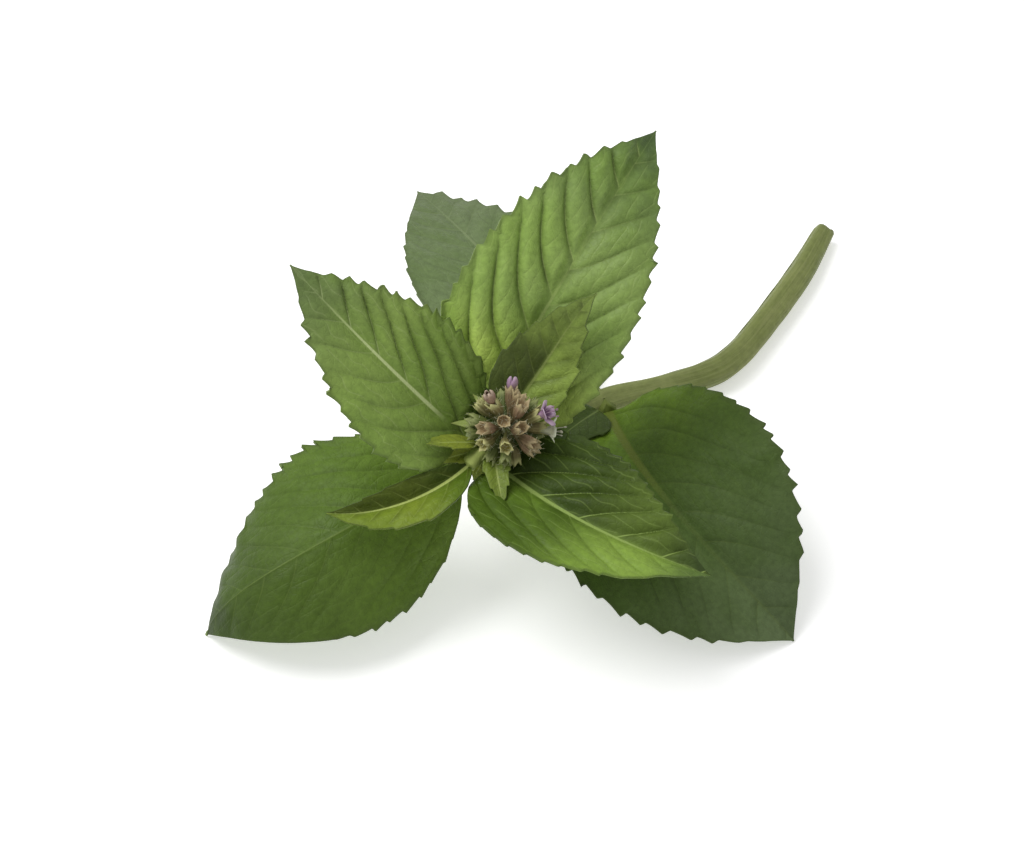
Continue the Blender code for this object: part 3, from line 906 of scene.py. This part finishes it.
@dataclass
class Stem:
    """The stem: four-cornered, ribbed, swollen at its nodes, with a cut lower end.

    route lists points down the stem, each with the stem's radius there.
    """

    finish: StemFinish
    route: tuple = (
        (-0.6, -0.2, 34.2, 2.1), (-1.3, 0.7, 32.6, 1.5), (-2.5, 2.0, 30.2, 1.5), (-4.1, 2.3, 27.6, 1.2),
        (-5.2, 2.6, 25.2, 1.7), (-6.1, 4.9, 22.9, 1.3), (-6.0, 8.6, 20.0, 2.0), (-1.4, 15.5, 13.4, 1.6),
        (7.5, 24.2, 6.2, 1.8), (18.3, 32.8, 3.0, 2.5), (26.7, 35.8, 2.6, 2.3), (32.2, 37.4, 2.7, 2.5),
        (37.7, 39.4, 2.8, 2.7), (42.3, 42.4, 2.95, 2.8), (47.5, 49.0, 2.9, 2.75), (57.3, 65.0, 2.85, 2.7),
        (63.7, 78.4, 2.3, 2.1))
    steps: int = 12
    sides: int = 48
    corners: int = 4
    squareness: float = 0.07
    rib_count: int = 20
    ribs: float = 0.018
    unevenness: float = 0.02
    rim: float = 0.35
    hollow: float = 0.25
    seed: int = 11

    def samples(self) -> np.ndarray:
        """Places and radii on a smooth curve through the route's own points (Catmull-Rom).

        Returns:
            Rows of x, y, z and radius.
        """
        points = np.array(self.route)
        padded = np.vstack([2 * points[0] - points[1], points, 2 * points[-1] - points[-2]])
        found = []
        for a, b, c, d in zip(padded, padded[1:], padded[2:], padded[3:]):
            for t in np.arange(self.steps) / self.steps:
                cubic = (3 * b - a - 3 * c + d) * t**3
                found.append(0.5 * (2 * b + (c - a) * t + (2 * a - 5 * b + 4 * c - d) * t**2 + cubic))
        return np.array([*found, points[-1]])

    def frames(self, places: np.ndarray) -> tuple[np.ndarray, np.ndarray]:
        """Two directions across the stem at each place, carried along without twist.

        Args:
            places: the points of the stem's line.

        Returns:
            The first and the second direction at each point.
        """
        along = np.gradient(places, axis=0)
        along /= np.linalg.norm(along, axis=1, keepdims=True)
        first, second = [], []
        side = np.array((0.0, 0.0, 1.0))
        for tangent in along:
            side = side - tangent * (side @ tangent)
            side /= np.linalg.norm(side)
            first.append(side)
            second.append(np.cross(tangent, side))
        return np.array(first), np.array(second)

    def build(self) -> None:
        """Models the stem and dresses it."""
        samples = self.samples()
        places, radii = samples[:, :3], samples[:, 3]
        first, second = self.frames(places)
        bm, number, ring = sheet(self.sides, len(places) - 1)
        angle = number / self.sides * math.tau
        length = np.concatenate([[0], np.cumsum(np.linalg.norm(np.diff(places, axis=0), axis=1))])
        ribs = self.ribs * np.cos(self.rib_count * angle)
        profile = 1 - self.squareness * np.cos(self.corners * angle) + ribs
        uneven = self.unevenness * ripple(length[ring], 4 * angle, 7.0, self.seed)
        reach = radii[ring] * profile * (1 + uneven)
        spots = places[ring] + first[ring] * (reach * np.cos(angle))[:, None]
        spots += second[ring] * (reach * np.sin(angle))[:, None]
        around = bm.verts.layers.float_vector.new(SKIN)
        for vert, spot, turn, far in zip(bm.verts, spots, angle, length[ring]):
            vert.co = spot
            vert[around] = (math.cos(turn), math.sin(turn), far / SKIN_UNIT)
        bmesh.ops.remove_doubles(bm, verts=bm.verts, dist=SAME_PLACE)
        open_edges = [edge for edge in bm.edges if edge.is_boundary]
        caps = bmesh.ops.holes_fill(bm, edges=open_edges, sides=0)["faces"]
        bmesh.ops.recalc_face_normals(bm, faces=bm.faces)
        end = Vector(places[-1])
        cut = min(caps, key=lambda face: (face.calc_center_median() - end).length)
        for inset, depth in ((self.rim * 0.3, 0.12), (self.rim, 0.0), (0.3, -self.hollow)):
            inner = bmesh.ops.inset_region(bm, faces=[cut], thickness=inset, depth=depth)["faces"]
        for face in [cut, *inner]:
            face.material_index = 1
        bmesh.ops.triangulate(bm, faces=[cut])
        finished_object("fine_stem", bm, [self.finish.skin(), self.finish.cut()], "stem")


class Opening(Enum):
    """How far a floret has opened."""

    BUD = "bud"
    OPEN = "open"


@dataclass
class FlowerHead:
    """The young flower head: calyces on rings about the stem's top, florets, bracts and hairs.

    rings lists each ring's tilt and number of calyces, florets each floret's ring, place and opening,
    and bracts each bract's turn, tilt, length and width. A profile lists (radius, height) pairs.
    """

    centre: tuple = (-0.6, -0.2, 34.6)
    axis: tuple = (0.25, -0.45, 0.86)
    rings: tuple = ((20, 3), (50, 6), (78, 8), (104, 7))
    ring_turn_step: float = 24.0
    calyx_start: float = 2.75
    calyx_profile: tuple = (
        (0.0, -1.2), (0.36, -1.2), (0.36, -0.4), (0.46, 0.1), (0.58, 0.8), (0.84, 1.4), (1.04, 2.1),
        (1.1, 2.9), (1.14, 3.5), (1.2, 3.9), (1.08, 3.92), (0.9, 3.4), (0.66, 2.8), (0.0, 2.5))
    calyx_teeth: int = 5
    calyx_ribs: float = 0.06
    teeth_from: float = 3.2
    teeth_rise: float = 0.7
    tooth_height: float = 0.95
    florets: tuple = ((2, 5, Opening.BUD), (1, 3, Opening.OPEN), (2, 3, Opening.OPEN), (1, 5, Opening.BUD))
    floret_start: float = 5.65
    bud_profile: tuple = (
        (0.0, -2.0), (0.36, -2.0), (0.46, 0.0), (0.62, 0.9), (0.95, 1.7), (1.1, 2.3), (1.0, 2.9),
        (0.66, 3.4), (0.5, 3.35), (0.7, 2.8), (0.0, 2.3))
    corolla_profile: tuple = (
        (0.0, -2.0), (0.36, -2.0), (0.46, 0.0), (0.56, 0.8), (0.75, 1.6), (1.05, 2.3), (1.5, 2.9),
        (2.3, 3.2), (2.25, 3.34), (1.4, 3.0), (0.8, 2.4), (0.45, 1.4), (0.0, 1.1))
    lobes: int = 4
    lobes_from: float = 1.9
    lobes_rise: float = 1.2
    stamen_length: float = 4.6
    bracts: tuple = ((98, 113, 5.8, 2.6), (194, 118, 6.5, 2.2), (312, 116, 7.0, 2.2), (355, 116, 7.5, 2.4))
    bract_start: float = 2.9
    bract_wall: float = 0.3
    hairs_on_calyx: int = 34
    seed: int = 5

    @staticmethod
    def standing(place: Vector, aim: Vector) -> Matrix:
        """The matrix that moves the origin to a place and turns +Z to a unit vector."""
        return Matrix.Translation(place) @ aim.to_track_quat("Z", "Y").to_matrix().to_4x4()

    def stand(self, tilt: float, turn: float, start: float) -> Matrix:
        """The place of a piece that grows out of the head.

        Args:
            tilt: degrees from the head's axis.
            turn: degrees about the head's axis.
            start: how far from the head's centre it starts.

        Returns:
            The matrix that takes the piece's +Z to its own direction.
        """
        axis = Vector(self.axis).normalized()
        side = axis.cross(Vector((0, 1, 0))).normalized()
        other = axis.cross(side)
        tilt, turn = math.radians(tilt), math.radians(turn)
        aim = axis * math.cos(tilt) + (side * math.cos(turn) + other * math.sin(turn)) * math.sin(tilt)
        return self.standing(Vector(self.centre) + aim * start, aim)

    def ring_turn(self, ring: int, place: int) -> float:
        """The turn of a place on a ring."""
        return 360.0 * place / self.rings[ring][1] + self.ring_turn_step * ring

    @staticmethod
    def turned(profile: tuple, sides: int) -> bmesh.types.BMesh:
        """A closed body turned from a profile that starts and ends on its axis.

        Args:
            profile: the (radius, height) pairs, up the outside and down the inside.
            sides: how many steps the turn has.

        Returns:
            The body, with its skin and inside attributes.
        """
        bm = bmesh.new()
        verts = [bm.verts.new((radius, 0.0, z)) for radius, z in profile]
        edges = [bm.edges.new(pair) for pair in zip(verts, verts[1:])]
        bmesh.ops.spin(
            bm, geom=verts + edges, axis=(0, 0, 1), cent=(0, 0, 0), angle=math.tau, steps=sides,
            use_merge=True)
        bmesh.ops.remove_doubles(bm, verts=bm.verts, dist=SAME_PLACE)
        bmesh.ops.recalc_face_normals(bm, faces=bm.faces)
        radii, heights = np.array(profile).T
        top = int(np.argmax(heights))
        skin, inside = bm.verts.layers.float_vector.new(SKIN), bm.verts.layers.float.new(INSIDE)
        for vert in bm.verts:
            turn = math.atan2(vert.co.y, vert.co.x)
            vert[skin] = (math.cos(turn), math.sin(turn), vert.co.z / heights[top])
            wall = float(np.interp(vert.co.z, heights[:top], radii[:top]))
            vert[inside] = float(vert.co.xy.length < wall - 0.12 and vert.co.z > 0)
        return bm

    def calyx(self, rng: np.random.Generator) -> bmesh.types.BMesh:
        """A ribbed, slightly bent cup on a short stalk, with pointed teeth round its mouth.

        Args:
            rng: the source of small differences between calyces.

        Returns:
            The calyx, growing along +Z from the origin.
        """
        bm = self.turned(self.calyx_profile, 8 * self.calyx_teeth)
        splay = rng.uniform(-0.1, 0.45)
        bend = rng.uniform(-0.05, 0.05, 2)
        squash = rng.uniform(0.85, 1.05)
        lengths = rng.uniform(0.7, 1.15, self.calyx_teeth)
        for vert in bm.verts:
            turn = math.atan2(vert.co.y, vert.co.x)
            place = turn / math.tau * self.calyx_teeth
            point = (1 - abs(2 * (place % 1.0) - 1)) ** 0.9
            if vert.co.z > 0.2:
                vert.co.xy *= 1 + self.calyx_ribs * math.cos(2 * self.calyx_teeth * turn)
            if vert.co.z > self.teeth_from:
                share = min((vert.co.z - self.teeth_from) / self.teeth_rise, 1.0)
                lift = point * share * lengths[int(math.floor(place)) % self.calyx_teeth]
                vert.co.z += lift * self.tooth_height - 0.25 * share
                vert.co.xy *= 1 + splay * lift - 0.12 * point * share
            vert.co.x = vert.co.x * squash + bend[0] * vert.co.z**2
            vert.co.y += bend[1] * vert.co.z**2
        return bm

    def floret(self, opening: Opening, rng: np.random.Generator) -> bmesh.types.BMesh:
        """A tube with four lobes; in a bud they close over its mouth, and an open one has stamens.

        Args:
            opening: how far it has opened.
            rng: the source of small differences between lobes.

        Returns:
            The floret, growing along +Z from the origin.
        """
        is_open = opening is Opening.OPEN
        bm = self.turned(self.corolla_profile if is_open else self.bud_profile, 12 * self.lobes)
        lobe_sizes = rng.uniform(0.85, 1.15, self.lobes)
        for vert in bm.verts:
            if vert.co.z > self.lobes_from:
                turn = math.atan2(vert.co.y, vert.co.x)
                share = min((vert.co.z - self.lobes_from) / self.lobes_rise, 1.0)
                cut = abs(math.cos(self.lobes / 2 * turn)) ** 7 * share
                size = lobe_sizes[int(math.floor(turn / math.tau * self.lobes)) % self.lobes]
                vert.co.xy *= 1 - 0.42 * cut + (size - 1) * share
                vert.co.z -= 0.9 * cut + (0.25 * share if is_open else 0.0)
        if is_open:
            self.add_stamens(bm, rng)
        return bm

    def add_stamens(self, bm: bmesh.types.BMesh, rng: np.random.Generator) -> None:
        """Adds thin stamens with small anthers to an open floret.

        Args:
            bm: the floret.
            rng: the source of their leans and lengths.
        """
        anther = Matrix.Diagonal((1.0, 0.7, 1.5, 1.0))
        for number in range(self.lobes):
            turn = math.tau * (number + 0.5) / self.lobes
            lean = rng.uniform(0.12, 0.3)
            aim = Vector((math.cos(turn) * lean, math.sin(turn) * lean, 1.0)).normalized()
            length = self.stamen_length * rng.uniform(0.85, 1.05)
            bmesh.ops.create_cone(
                bm, cap_ends=True, segments=6, radius1=0.09, radius2=0.06, depth=length,
                matrix=self.standing(aim * (length / 2), aim))
            bmesh.ops.create_icosphere(
                bm, subdivisions=2, radius=0.2, matrix=self.standing(aim * length, aim) @ anther)
        skin = bm.verts.layers.float_vector[SKIN]
        for vert in bm.verts:
            if vert[skin].length == 0:
                vert[skin] = (1.0, 0.0, 0.4 if vert.co.length > self.stamen_length * 0.8 else 1.0)

    @staticmethod
    def tube(name: str, *colours: tuple, **looks: float) -> bpy.types.Material:
        """A tube's material, from the display colours of its foot, wall, rim, ribs and throat."""
        return TubeFinish(name, *(tone(*colour) for colour in colours), **looks).material()

    def calyx_finishes(self) -> list:
        """The calyces' materials: purplish at the crown, then tan, then grey-green at the foot.

        Returns:
            A list of materials to a ring.
        """
        crown = self.tube(
            "calyx_crown", (100, 90, 54), (140, 114, 90), (172, 156, 118), (146, 126, 96), (156, 134, 98))
        tan = self.tube(
            "calyx_tan", (98, 102, 54), (128, 118, 76), (186, 184, 126), (144, 136, 92), (160, 152, 88))
        green = self.tube(
            "calyx_green", (72, 88, 38), (94, 104, 50), (136, 144, 90), (116, 126, 70), (140, 148, 78))
        return [[crown], [crown, tan], [tan, green, crown], [green, tan]]

    def floret_finishes(self) -> list:
        """The florets' materials, one to a floret.

        Returns:
            The materials, in the florets' order.
        """
        tones = {
            "lilac": ((150, 132, 112), (154, 124, 150), (190, 164, 186), (130, 96, 130), (110, 78, 108)),
            "pale": ((150, 154, 112), (182, 184, 158), (212, 216, 190), (150, 132, 140), (96, 92, 64)),
            "pink": ((130, 112, 82), (150, 120, 106), (186, 166, 148), (124, 88, 84), (84, 58, 52))}
        lilac, pale, pink = (
            self.tube(
                f"floret_{name}", *colours, rib_count=self.lobes, rib_show=0.4 if name == "pink" else 0.3,
                rim_from=0.8, roughness=0.5)
            for name, colours in tones.items())
        return [lilac, lilac, pale, pink]

    def build_tubes(self, rng: np.random.Generator) -> list:
        """Models the calyces and florets.

        Args:
            rng: the source of small differences between calyces.

        Returns:
            Root points and directions of hairs on the calyces.
        """
        finishes = self.calyx_finishes()
        roots = []
        for ring, (tilt, count) in enumerate(self.rings):
            for place in range(count):
                sway = rng.uniform(-5, 5, 2)
                stand = self.stand(tilt + sway[0], self.ring_turn(ring, place) + sway[1], self.calyx_start)
                bm = self.calyx(rng)
                spin = Matrix.Rotation(rng.uniform(0, math.tau), 4, "Z")
                bmesh.ops.transform(bm, matrix=stand @ spin, verts=bm.verts)
                bm.normal_update()
                outer = [v for v in bm.verts if v.normal.dot((v.co - stand.translation).normalized()) > -0.2]
                for index in rng.choice(len(outer), self.hairs_on_calyx, replace=False):
                    roots.append((outer[index].co.copy(), outer[index].normal.copy()))
                node, finish = f"calyx_{ring + 1}_{place + 1}", finishes[ring][place % len(finishes[ring])]
                finished_object(f"fine_{node}", bm, [finish], node)
        for number, ((ring, place, opening), skin) in enumerate(zip(self.florets, self.floret_finishes()), 1):
            bm = self.floret(opening, rng)
            stand = self.stand(self.rings[ring][0], self.ring_turn(ring, place), self.floret_start)
            bmesh.ops.transform(bm, matrix=stand, verts=bm.verts)
            finished_object(f"fine_floret_{number}", bm, [skin], f"floret_{number}")
        return roots

    def build_bracts(self) -> None:
        """Models the narrow pointed bracts under the head."""
        green = self.tube(
            "bract_skin", (112, 126, 52), (120, 136, 58), (140, 150, 84), (154, 166, 96),
            rib_count=2, rib_show=0.4, rim_from=0.8, roughness=0.55)
        for number, (turn, tilt, length, width) in enumerate(self.bracts, 1):
            bm = sheet(12, 28)[0]
            skin = bm.verts.layers.float_vector.new(SKIN)
            for vert in bm.verts:
                across, along = vert.co.x * 2, vert.co.y + 0.5
                half = max(width / 2 * math.sin(math.pi * along**0.75), 0.08)
                groove = 0.12 * math.exp(-((across * half / 0.25) ** 2))
                hang = -0.25 * half * across**2 - 1.2 * along**2 - groove
                vert.co = (across * half, hang, along * length - 0.8 * (1 - along))
                vert[skin] = (across, 0.0, along)
            bmesh.ops.transform(bm, matrix=self.stand(tilt, turn, self.bract_start), verts=bm.verts)
            piece = finished_object(f"fine_bract_{number}", bm, [green], f"bract_{number}")
            add_wall(piece, self.bract_wall, 0.0)

    def build_hairs(self, roots: list, rng: np.random.Generator) -> None:
        """Models the short pale hairs of the calyces as thin three-sided spikes.

        Args:
            roots: where each hair stands and the surface's direction there.
            rng: the source of the hairs' lengths and leans.
        """
        s = Surface("hair")
        s.set(Base_Color=s.mottled(tone(206, 206, 176), tone(176, 172, 142), 300.0), Roughness=0.5)
        bm = bmesh.new()
        for root, normal in roots:
            aim = (normal + Vector(rng.normal(0, 0.35, 3))).normalized()
            length = rng.uniform(0.4, 1.0)
            stand = self.standing(root + aim * (length * 0.48), aim)
            bmesh.ops.create_cone(
                bm, cap_ends=True, segments=3, radius1=0.045, radius2=0.01, depth=length, matrix=stand)
        finished_object("head_hairs", bm, [s.material], None)

    def build(self) -> None:
        """Models and dresses the whole head."""
        rng = np.random.default_rng(self.seed)
        roots = self.build_tubes(rng)
        self.build_bracts()
        self.build_hairs(roots, rng)


# The sprig's leaves

NODE_UNDER_HEAD = (-2.5, 2.0, 30.2)
UPPER_NODE = (-5.2, 2.2, 25.2)
MIDDLE_NODE = (-6.0, 8.6, 20.0)
LOWER_NODE = (18.3, 32.8, 3.0)

LEAVES = (
    (LeafSizes(
        name="leaf_top_upper", slot="leaf_young", node=NODE_UNDER_HEAD, length=32.8, width=14.2, fullest=0.53,
        teeth=6, heading=57, swerve=-46, pitch=13, droop=-93, hook=58, roll=27, twist=14, fold=(20, 15),
        curl=(-12, -7), spread=(1.06, 0.91), tooth_depth=(0.35, 0.6), spacing=4.2, puff=(0.3, 0.35), seed=10,
        rows=150, columns=70), LeafFinish(
        green=(118, 137, 62), patch=(100, 119, 50), tip=(122, 142, 70), vein=(148, 162, 92),
        under=(110, 128, 78), painted_half_shade=(0.42, 1.4), painted_shade_until=0.66, vein_show=0.2, midrib_width=0.4,
        midrib_end=0.9, midrib_show=0.6)),
    (LeafSizes(
        name="leaf_top_lower", slot="leaf_young", node=NODE_UNDER_HEAD, length=36, width=10.4, petiole=0.225,
        fullest=0.79, teeth=6, heading=-117, swerve=-70, pitch=-2.2, droop=11.5, hook=-14, roll=-12, twist=-5,
        fold=(28, 34), curl=(-16, -9), spread=(1.05, 0.72), tooth_depth=(0.45, 0.15), spacing=4.4,
        puff=(0.3, 0.3), seed=20, rows=160, columns=60), LeafFinish(
        green=(120, 137, 42), patch=(102, 124, 36), tip=(108, 126, 46), vein=(176, 190, 106),
        under=(124, 138, 72), base=(78, 102, 26), base_from=0.32, base_to=0.6, painted_half_shade=(1.0, 0.4),
        vein_show=0.15, gloss=0.15, midrib_width=0.45, roughness=(0.32, 0.5))),
    (LeafSizes(
        name="leaf_upper_left", slot="leaf_upper", node=UPPER_NODE, length=50.8, width=28, fullest=0.58,
        teeth=14, heading=181, swerve=-42, pitch=54, droop=12, hook=16, roll=-12, twist=6, fold=(3, 18),
        curl=(-20, -11), spread=(0.97, 0.98), lobe=(0, 16), tooth_depth=(0.85, 1.15), spacing=7.4,
        puff=(0.5, 1.3), slope=(0.95, 1.5), seed=30, rows=230, columns=124), LeafFinish(
        green=(126, 150, 72), patch=(110, 138, 56), tip=(92, 108, 66), vein=(186, 200, 140),
        under=(122, 140, 92), tip_from=0.55, half_veins_and_shade=(0.4, 1.1), midrib_width=0.65, midrib_from=0.18,
        midrib_end=0.9, crease_ahead=1.0)),
    (LeafSizes(
        name="leaf_upper_right", slot="leaf_upper", node=UPPER_NODE, length=50.8, width=29, fullest=0.65,
        teeth=15, heading=-57, swerve=43, pitch=12, droop=20, hook=5, roll=-1, twist=-8, fold=(18, 13),
        curl=(-18, 0), spread=(1.04, 1.06), lobe=(16, 1), tooth_depth=(0.8, 0.4), teeth_until=(0.97, 0.8),
        spacing=8.2, puff=(1.3, 0.8), slope=(1.0, 1.0), arch=0.07, seed=40, rows=230,
        columns=124), LeafFinish(
        green=(122, 148, 62), patch=(102, 130, 44), tip=(76, 96, 48), vein=(140, 162, 86),
        # The dark base colour is partly painted shadow of the flower head and of leaf_upper_left.
        under=(118, 138, 86), base=(66, 88, 23), base_from=0.4, base_to=0.72, tip_from=0.74,
        painted_half_shade=(0.49, 1.16), half_veins_and_shade=(1.4, 0.15), gloss=0.15, midrib_width=0.65, vein_show=0.7,
        crease_ahead=1.0)),
    (LeafSizes(
        name="leaf_middle_back", slot="leaf_middle", node=MIDDLE_NODE, length=69, width=32.8, fullest=0.66,
        teeth=17, heading=36, swerve=27, pitch=66, droop=53, hook=11, roll=26, twist=2, fold=(17, 13),
        curl=(-9, -11), spread=(1.0, 0.96), lobe=(22, 26), tooth_depth=(1.1, 0.8), spacing=7.8,
        puff=(1.8, 0.8), seed=50), LeafFinish(
        green=(130, 154, 80), patch=(114, 141, 60), tip=(72, 92, 50), vein=(168, 186, 112),
        under=(124, 142, 92), base=(170, 194, 90), base_from=0.22, base_to=0.44, tip_from=0.5,
        painted_half_shade=(1.22, 0.98), half_veins_and_shade=(1.2, 0.5), midrib_width=0.5, midrib_end=0.62, painted_crease_shade=0.7)),
    (LeafSizes(
        name="leaf_middle_front", slot="leaf_middle", node=MIDDLE_NODE, length=69, width=33.0, fullest=0.78,
        teeth=15, heading=-124, swerve=-57, pitch=12.2, droop=34, hook=57, roll=-23, twist=27, fold=(-20, 0),
        curl=(-22, -21), spread=(1.11, 1.2), tooth_depth=(0.95, 1.8), teeth_until=(0.66, 1.15), spacing=7.0,
        puff=(0.25, 0.3), seed=60), LeafFinish(
        green=(86, 110, 38), patch=(70, 92, 28), tip=(50, 64, 30), vein=(122, 140, 74), under=(110, 128, 82),
        base=(106, 130, 50), base_to=0.4, tip_from=0.3, painted_half_shade=(1.0, 1.15), gloss=0.15, midrib_width=0.4,
        midrib_show=0.4, vein_show=0.15, painted_crease_shade=0.25)),
    (LeafSizes(
        name="leaf_lower_back", slot="leaf_lower", node=LOWER_NODE, length=71, width=36, fullest=0.69,
        teeth=15, heading=125, swerve=-5, pitch=17, droop=40, hook=-5, roll=9, twist=-8, fold=(8, 2),
        curl=(-7, -10), spread=(1.09, 0.9), tooth_depth=(0.15, 2.1), teeth_until=(0.9, 1.25), spacing=7.4,
        puff=(0.35, 0.35), seed=70), LeafFinish(
        green=(104, 121, 80), patch=(91, 112, 60), tip=(100, 114, 78), vein=(128, 142, 100),
        under=(116, 130, 92), midrib_width=0.9, midrib_show=0.6, painted_crease_shade=0.2)),
    (LeafSizes(
        name="leaf_lower_front", slot="leaf_lower", node=LOWER_NODE, length=72.4, width=44.6, petiole=0.09,
        fullest=0.96, teeth=17, heading=-88, swerve=59, pitch=34.5, droop=68, hook=11, roll=8, twist=4,
        fold=(20, 7), curl=(-4, -8), spread=(0.98, 1.0), lobe=(42, 34), tooth_depth=(0.95, 0.85), spacing=8.0,
        puff=(0.25, 0.25), seed=80), LeafFinish(
        green=(66, 86, 32), patch=(58, 77, 30), tip=(80, 94, 62), vein=(98, 110, 44), under=(98, 116, 72),
        base=(100, 128, 34), base_from=0.2, base_to=0.46, tip_from=0.4, painted_half_shade=(1.0, 1.36), gloss=0.1,
        midrib_width=1.3, midrib_end=0.6, vein_show=0.12, painted_crease_shade=0.3)),
)

YOUNG = LeafFinish(
    green=(136, 148, 54), patch=(116, 130, 44), tip=(108, 124, 48), vein=(164, 178, 100),
    under=(118, 132, 66), base=(134, 142, 60), midrib_width=0.3, vein_width=0.1, crease_width=0.5)
HANGING = replace(
    YOUNG, green=(112, 130, 48), patch=(94, 112, 38), tip=(98, 116, 44), vein=(150, 164, 88),
    under=(112, 126, 62), base=(124, 132, 56))
# Painted shade: the dark green of the leaflets that fill dark gaps beside the flower head and over the lower
# front leaf's base, standing in for the shade there.
PAINTED_SHADE = replace(
    YOUNG, green=(66, 82, 36), patch=(58, 74, 30), tip=(68, 86, 38), vein=(96, 110, 60), under=(84, 100, 60),
    base=(70, 84, 34), gloss=0.1)

LEAFLETS = (
    (LeafletSizes(
        name="axil_leaf_1", node=(-2.9, -2.6, 31.6), length=11.2, width=4.6, fullest=0.52, teeth=3,
        heading=-84, swerve=6, pitch=-8, droop=14, roll=0, twist=10, fold=(24, 24), curl=(-20, -20),
        puff=(0.12, 0.12), seed=101), HANGING),
    (LeafletSizes(
        name="axil_leaf_2", node=(-4.6, -0.6, 30.6), length=12.2, width=4.8, petiole=0.08, fullest=0.85,
        teeth=3, heading=204, pitch=34, droop=16, roll=14, fold=(14, 14), curl=(-24, -24), seed=102), YOUNG),
    (LeafletSizes(
        name="axil_leaf_3", node=(-5.3, -0.8, 29.1), length=8.4, width=5.6, petiole=0.08, fullest=0.7,
        teeth=3, heading=205, pitch=12, droop=8, roll=8, fold=(14, 14), curl=(-16, -16), seed=103), YOUNG),
    (LeafletSizes(
        name="axil_leaf_4", node=(-3.4, -0.8, 29.8), length=6.8, width=4.6, fullest=0.62, teeth=3,
        heading=-131, swerve=4, pitch=-34, droop=16, roll=0, fold=(22, 22), curl=(-30, -30),
        puff=(0.12, 0.12), tooth_depth=(0.2, 0.2), seed=104), YOUNG),
    # A dark leaflet over the lower front leaf's base, partly standing in for the shade that lies there.
    (LeafletSizes(
        name="node_leaf", node=(17.4, 27.0, 7.6), length=13.5, width=12.5, fullest=0.75, teeth=4,
        heading=-134, swerve=6, pitch=16, droop=10, roll=6, fold=(14, 14), curl=(-16, -16), spacing=2.4,
        seed=105), PAINTED_SHADE),
    (LeafletSizes(
        name="behind_head_leaf", node=(-4.4, 4.0, 26.0), length=10.5, width=8.0, fullest=0.7, teeth=4,
        heading=100, pitch=52, droop=24, roll=4, fold=(12, 12), curl=(-14, -14), spacing=2.4,
        seed=107), PAINTED_SHADE),
    (LeafletSizes(
        name="under_head_leaf", node=(-3.6, 1.8, 26.6), length=15.5, width=9.0, fullest=0.85, teeth=4,
        heading=9, swerve=4, pitch=4, droop=12, roll=-8, fold=(10, 10), curl=(-12, -12), spacing=2.6,
        seed=106), PAINTED_SHADE),
)


# Floor, light and camera


@dataclass(frozen=True)
class Studio:
    """A white floor lit a little from below, a broad soft lamp, even sky light, and the camera."""

    floor_half: float = 3.0
    looks_at: tuple = (0.35, 0.6, 35.5)
    distance: float = 500.0
    elevation: float = 50.0
    seen_width: float = 181.0
    sensor: float = 36.0
    lamp_from: tuple = (-0.55, 0.15, 1.0)
    lamp_distance: float = 1.2
    lamp_size: float = 0.9
    lamp_power: float = 10.0
    sky: float = 0.55
    floor_glow: float = 0.4

    def floor(self) -> None:
        """The floor that the sprig lies on."""
        bm = bmesh.new()
        bmesh.ops.create_grid(bm, x_segments=1, y_segments=1, size=self.floor_half)
        mesh = bpy.data.meshes.new("floor")
        bm.to_mesh(mesh)
        bm.free()
        s = Surface("white_acrylic")
        s.set(
            Base_Color=(0.92, 0.92, 0.92, 1.0), Roughness=0.8, Specular_IOR_Level=0.1, Emission_Color=WHITE,
            Emission_Strength=self.floor_glow)
        mesh.materials.append(s.material)
        new_object("floor", mesh)

    def lights(self) -> None:
        """The lamp and the sky."""
        lamp = bpy.data.lights.new("soft_lamp", "AREA")
        lamp.shape = "DISK"
        lamp.size = self.lamp_size
        lamp.energy = self.lamp_power
        holder = new_object("soft_lamp", lamp)
        aim = Vector(self.lamp_from).normalized()
        holder.location = aim * self.lamp_distance
        holder.rotation_mode = "QUATERNION"
        holder.rotation_quaternion = aim.to_track_quat("Z", "Y")
        world = bpy.data.worlds.new("sky")
        world.use_nodes = True
        background = world.node_tree.nodes["Background"]
        background.inputs["Color"].default_value = WHITE
        background.inputs["Strength"].default_value = self.sky
        bpy.context.scene.world = world

    def camera(self) -> None:
        """The camera, level across, looking down at the sprig."""
        camera = bpy.data.cameras.new("camera")
        camera.sensor_width = self.sensor
        camera.lens = self.sensor * self.distance / self.seen_width
        camera.clip_start, camera.clip_end = 0.01, 20.0
        holder = new_object("camera", camera)
        elevation = math.radians(self.elevation)
        back = Vector((0.0, -math.cos(elevation), math.sin(elevation)))
        holder.location = (Vector(SPRIG_PLACE) + Vector(self.looks_at) + back * self.distance) * MM
        holder.rotation_euler = (math.pi / 2 - elevation, 0.0, 0.0)
        bpy.context.scene.camera = holder
        bpy.context.scene.view_settings.view_transform = "Standard"

    def build(self) -> None:
        """Sets the whole studio."""
        self.floor()
        self.lights()
        self.camera()


def clear_scene() -> None:
    """Removes what the file opened with."""
    for item in list(bpy.data.objects):
        bpy.data.objects.remove(item, do_unlink=True)


def main() -> None:
    """Builds the sprig's looks round the frame, piece by piece."""
    logging.basicConfig(level=logging.INFO, format="%(message)s")
    clear_scene()
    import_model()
    Stem(StemFinish()).build()
    for sizes, finish in LEAVES + LEAFLETS:
        Leaf(sizes, finish).build()
    FlowerHead().build()
    Studio().build()


if __name__ == "__main__":
    main()
